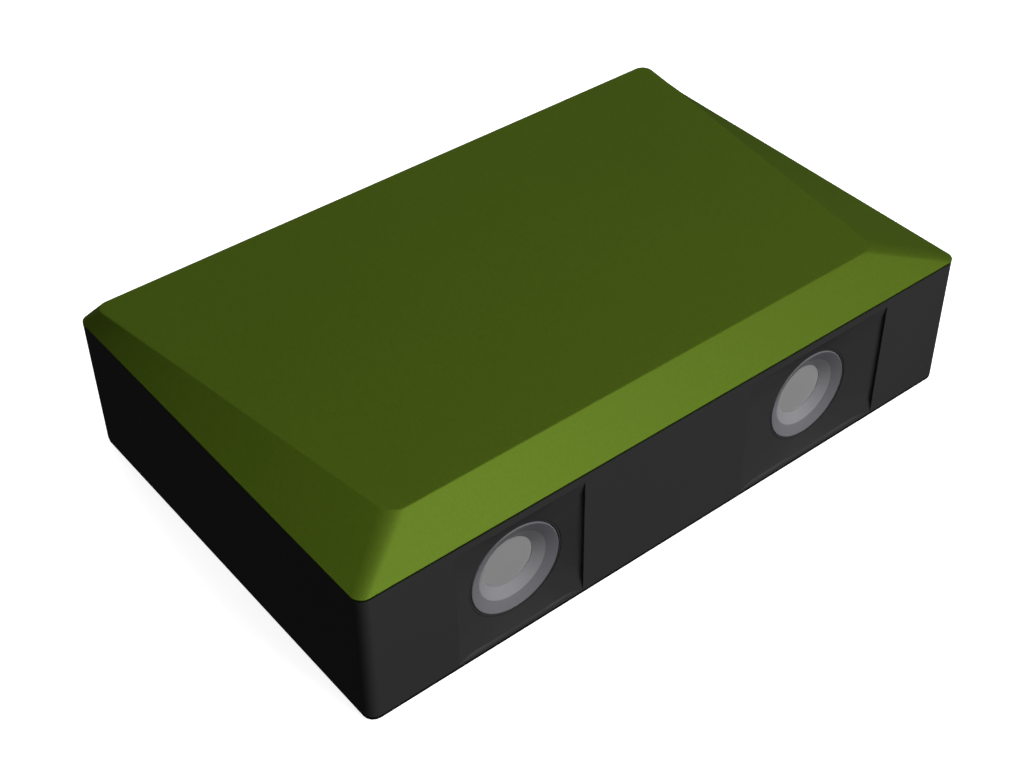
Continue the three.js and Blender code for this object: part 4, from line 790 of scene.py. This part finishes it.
bench_metal = Finish("bench_metal", Metallic=1.0)
rolling = bench_metal.noise(0.0005, 3, 0.6, bench_metal.drawn_out(0.03, 1, 1))
bench_metal.set(
    Base_Color=bench_metal.blend(rolling, (0.5, 0.51, 0.52), (0.62, 0.62, 0.63)),
    Roughness=0.28 + 0.2 * rolling,
)
bench_metal.relief(rolling, 0.000008)
dress(bench_metal, "optical_bench")
sink_metal = Finish("sink_metal", Metallic=0.9)
drawing = sink_metal.noise(0.0004, 3, 0.6, sink_metal.drawn_out(1, 0.03, 1))
sink_metal.set(
    Base_Color=sink_metal.blend(drawing, (0.32, 0.33, 0.34), (0.42, 0.43, 0.44)),
    Roughness=0.36 + 0.2 * drawing,
)
sink_metal.relief(drawing, 0.00001)
dress(sink_metal, "led_heat_sink", "processor_heat_sink")
dress(screw_zinc, *[f"bench_screw_{number}" for number in range(1, 5)])
dress(screw_zinc, *[f"board_screw_{number}" for number in range(1, 5)])
dress(screw_zinc, "camera_mount_screw_1", "camera_mount_screw_2", "engine_screw_1", "engine_screw_2")

# Lens barrels: turned aluminium, anodised matt black, each with a stop ring, a rear lens and a plain steel
# ring that locks it. The camera's barrel sits in a clamp and the projector's in the engine's cast block.
barrel_black = Finish("barrel_black", Metallic=0.7)
turning = barrel_black.noise(0.0001, 2, 0.5, barrel_black.drawn_out(0.05, 1, 0.05))
barrel_black.set(
    Base_Color=barrel_black.blend(turning, (0.01, 0.01, 0.011), (0.03, 0.03, 0.032)),
    Roughness=0.42 + 0.16 * turning,
)
barrel_black.relief(turning, 0.00001)
dress(barrel_black, "camera_lens_barrel", "camera_stop_ring", "camera_body")
dress(barrel_black, "projector_lens_barrel", "projector_stop_ring")
dress(socket_steel, "camera_lock_ring", "projector_lock_ring")
rear_glass = Finish("rear_glass", Coat_Weight=1.0, Coat_Roughness=0.03)
glass_bloom = rear_glass.noise(0.005, 2)
rear_glass.set(
    Base_Color=rear_glass.blend(glass_bloom, (0.03, 0.035, 0.07), (0.06, 0.045, 0.09)),
    Roughness=0.06 + 0.04 * glass_bloom,
)
dress(rear_glass, "camera_rear_lens", "projector_rear_lens")
cast_metal = Finish("cast_metal", Metallic=0.8)
cast_skin = cast_metal.noise(0.0005, 4, 0.65)
cast_flow = cast_metal.noise(0.012, 2)
cast_metal.set(
    Base_Color=cast_metal.blend(cast_skin * 0.5 + cast_flow * 0.5, (0.22, 0.225, 0.23), (0.34, 0.345, 0.35)),
    Roughness=0.42 + 0.2 * cast_skin,
)
cast_metal.relief(cast_skin, 0.00004)
dress(cast_metal, "camera_mount", "projector_engine")

# Circuit boards: glass-fibre boards under green solder mask, with copper tracks that show through it. The
# control board, the camera's and the light modulator's are alike. Their chips are moulded in black epoxy.
board_mask = Finish("board_mask", Specular_IOR_Level=0.6)
tracks = board_mask.node(
    "ShaderNodeTexBrick",
    {"offset": 0.37, "offset_frequency": 3, "squash": 0.6, "squash_frequency": 2},
    output=1,
    Vector=board_mask.place,
    Scale=260,
    Mortar_Size=0.06,
    Mortar_Smooth=0.2,
    Brick_Width=0.9,
    Row_Height=0.35,
)
weave = board_mask.noise(0.0006, 2)
board_mask.set(
    Base_Color=board_mask.blend(tracks * 0.8 + weave * 0.2, (0.006, 0.055, 0.02), (0.015, 0.12, 0.04)),
    Roughness=0.34 + 0.16 * weave,
)
board_mask.relief(tracks, 0.00002)
dress(board_mask, "control_board", "camera_board", "modulator_board")
chip_epoxy = Finish("chip_epoxy", Specular_IOR_Level=0.35)
epoxy_grain = chip_epoxy.noise(0.00015, 3)
chip_epoxy.set(
    Base_Color=chip_epoxy.blend(epoxy_grain, (0.01, 0.01, 0.011), (0.024, 0.024, 0.025)),
    Roughness=0.5 + 0.2 * epoxy_grain,
)
chip_epoxy.relief(epoxy_grain, 0.00001)
dress(chip_epoxy, "processor")
sensor_face = Finish("sensor_face", Specular_IOR_Level=0.6, Coat_Weight=0.6)
sensor_cells = sensor_face.node("ShaderNodeTexVoronoi", Vector=sensor_face.place, Scale=6000)
sensor_face.set(
    Base_Color=sensor_face.blend(sensor_cells, (0.012, 0.02, 0.03), (0.04, 0.03, 0.05)),
    Roughness=0.16 + 0.1 * sensor_cells,
)
dress(sensor_face, "image_sensor", "light_modulator")
dress(tongue_black, "power_switch")

# Lamp: a white ceramic board that carries the light emitter, a block with yellow phosphor on its face. The
# board lies between the projector's engine and the heat sink.
lamp_ceramic = Finish("lamp_ceramic", Specular_IOR_Level=0.4)
glaze = lamp_ceramic.noise(0.0008, 3)
lamp_ceramic.set(
    Base_Color=lamp_ceramic.blend(glaze, (0.66, 0.66, 0.63), (0.78, 0.78, 0.76)),
    Roughness=0.38 + 0.15 * glaze,
)
dress(lamp_ceramic, "led_board")
phosphor = Finish("phosphor", Specular_IOR_Level=0.4)
phosphor_grain = phosphor.noise(0.0002, 3)
phosphor.set(
    Base_Color=phosphor.blend(phosphor_grain, (0.6, 0.46, 0.06), (0.78, 0.64, 0.14)),
    Roughness=0.45 + 0.2 * phosphor_grain,
)
dress(phosphor, "led_emitter")

# Fan: frame and rotor moulded in black plastic, slid between rails behind the rear vents. Its lead is black
# too, and the two ribbons are white plastic over flat wires.
fan_black = Finish("fan_black", Specular_IOR_Level=0.45)
fan_flow = fan_black.noise(0.004, 3)
fan_black.set(
    Base_Color=fan_black.blend(fan_flow, (0.014, 0.014, 0.015), (0.026, 0.026, 0.028)),
    Roughness=0.38 + 0.14 * fan_flow,
)
dress(fan_black, "fan_frame", "fan_rotor", "fan_lead")
ribbon_white = Finish("ribbon_white", Specular_IOR_Level=0.4)
ribbon_wires = ribbon_white.noise(0.0003, 1, 0.5, ribbon_white.drawn_out(1, 0.02, 0.02))
ribbon_white.set(
    Base_Color=ribbon_white.blend(ribbon_wires, (0.5, 0.5, 0.48), (0.72, 0.72, 0.69)),
    Roughness=0.4 + 0.15 * ribbon_wires,
)
ribbon_white.relief(ribbon_wires, 0.00002)
dress(ribbon_white, "camera_ribbon", "modulator_ribbon")
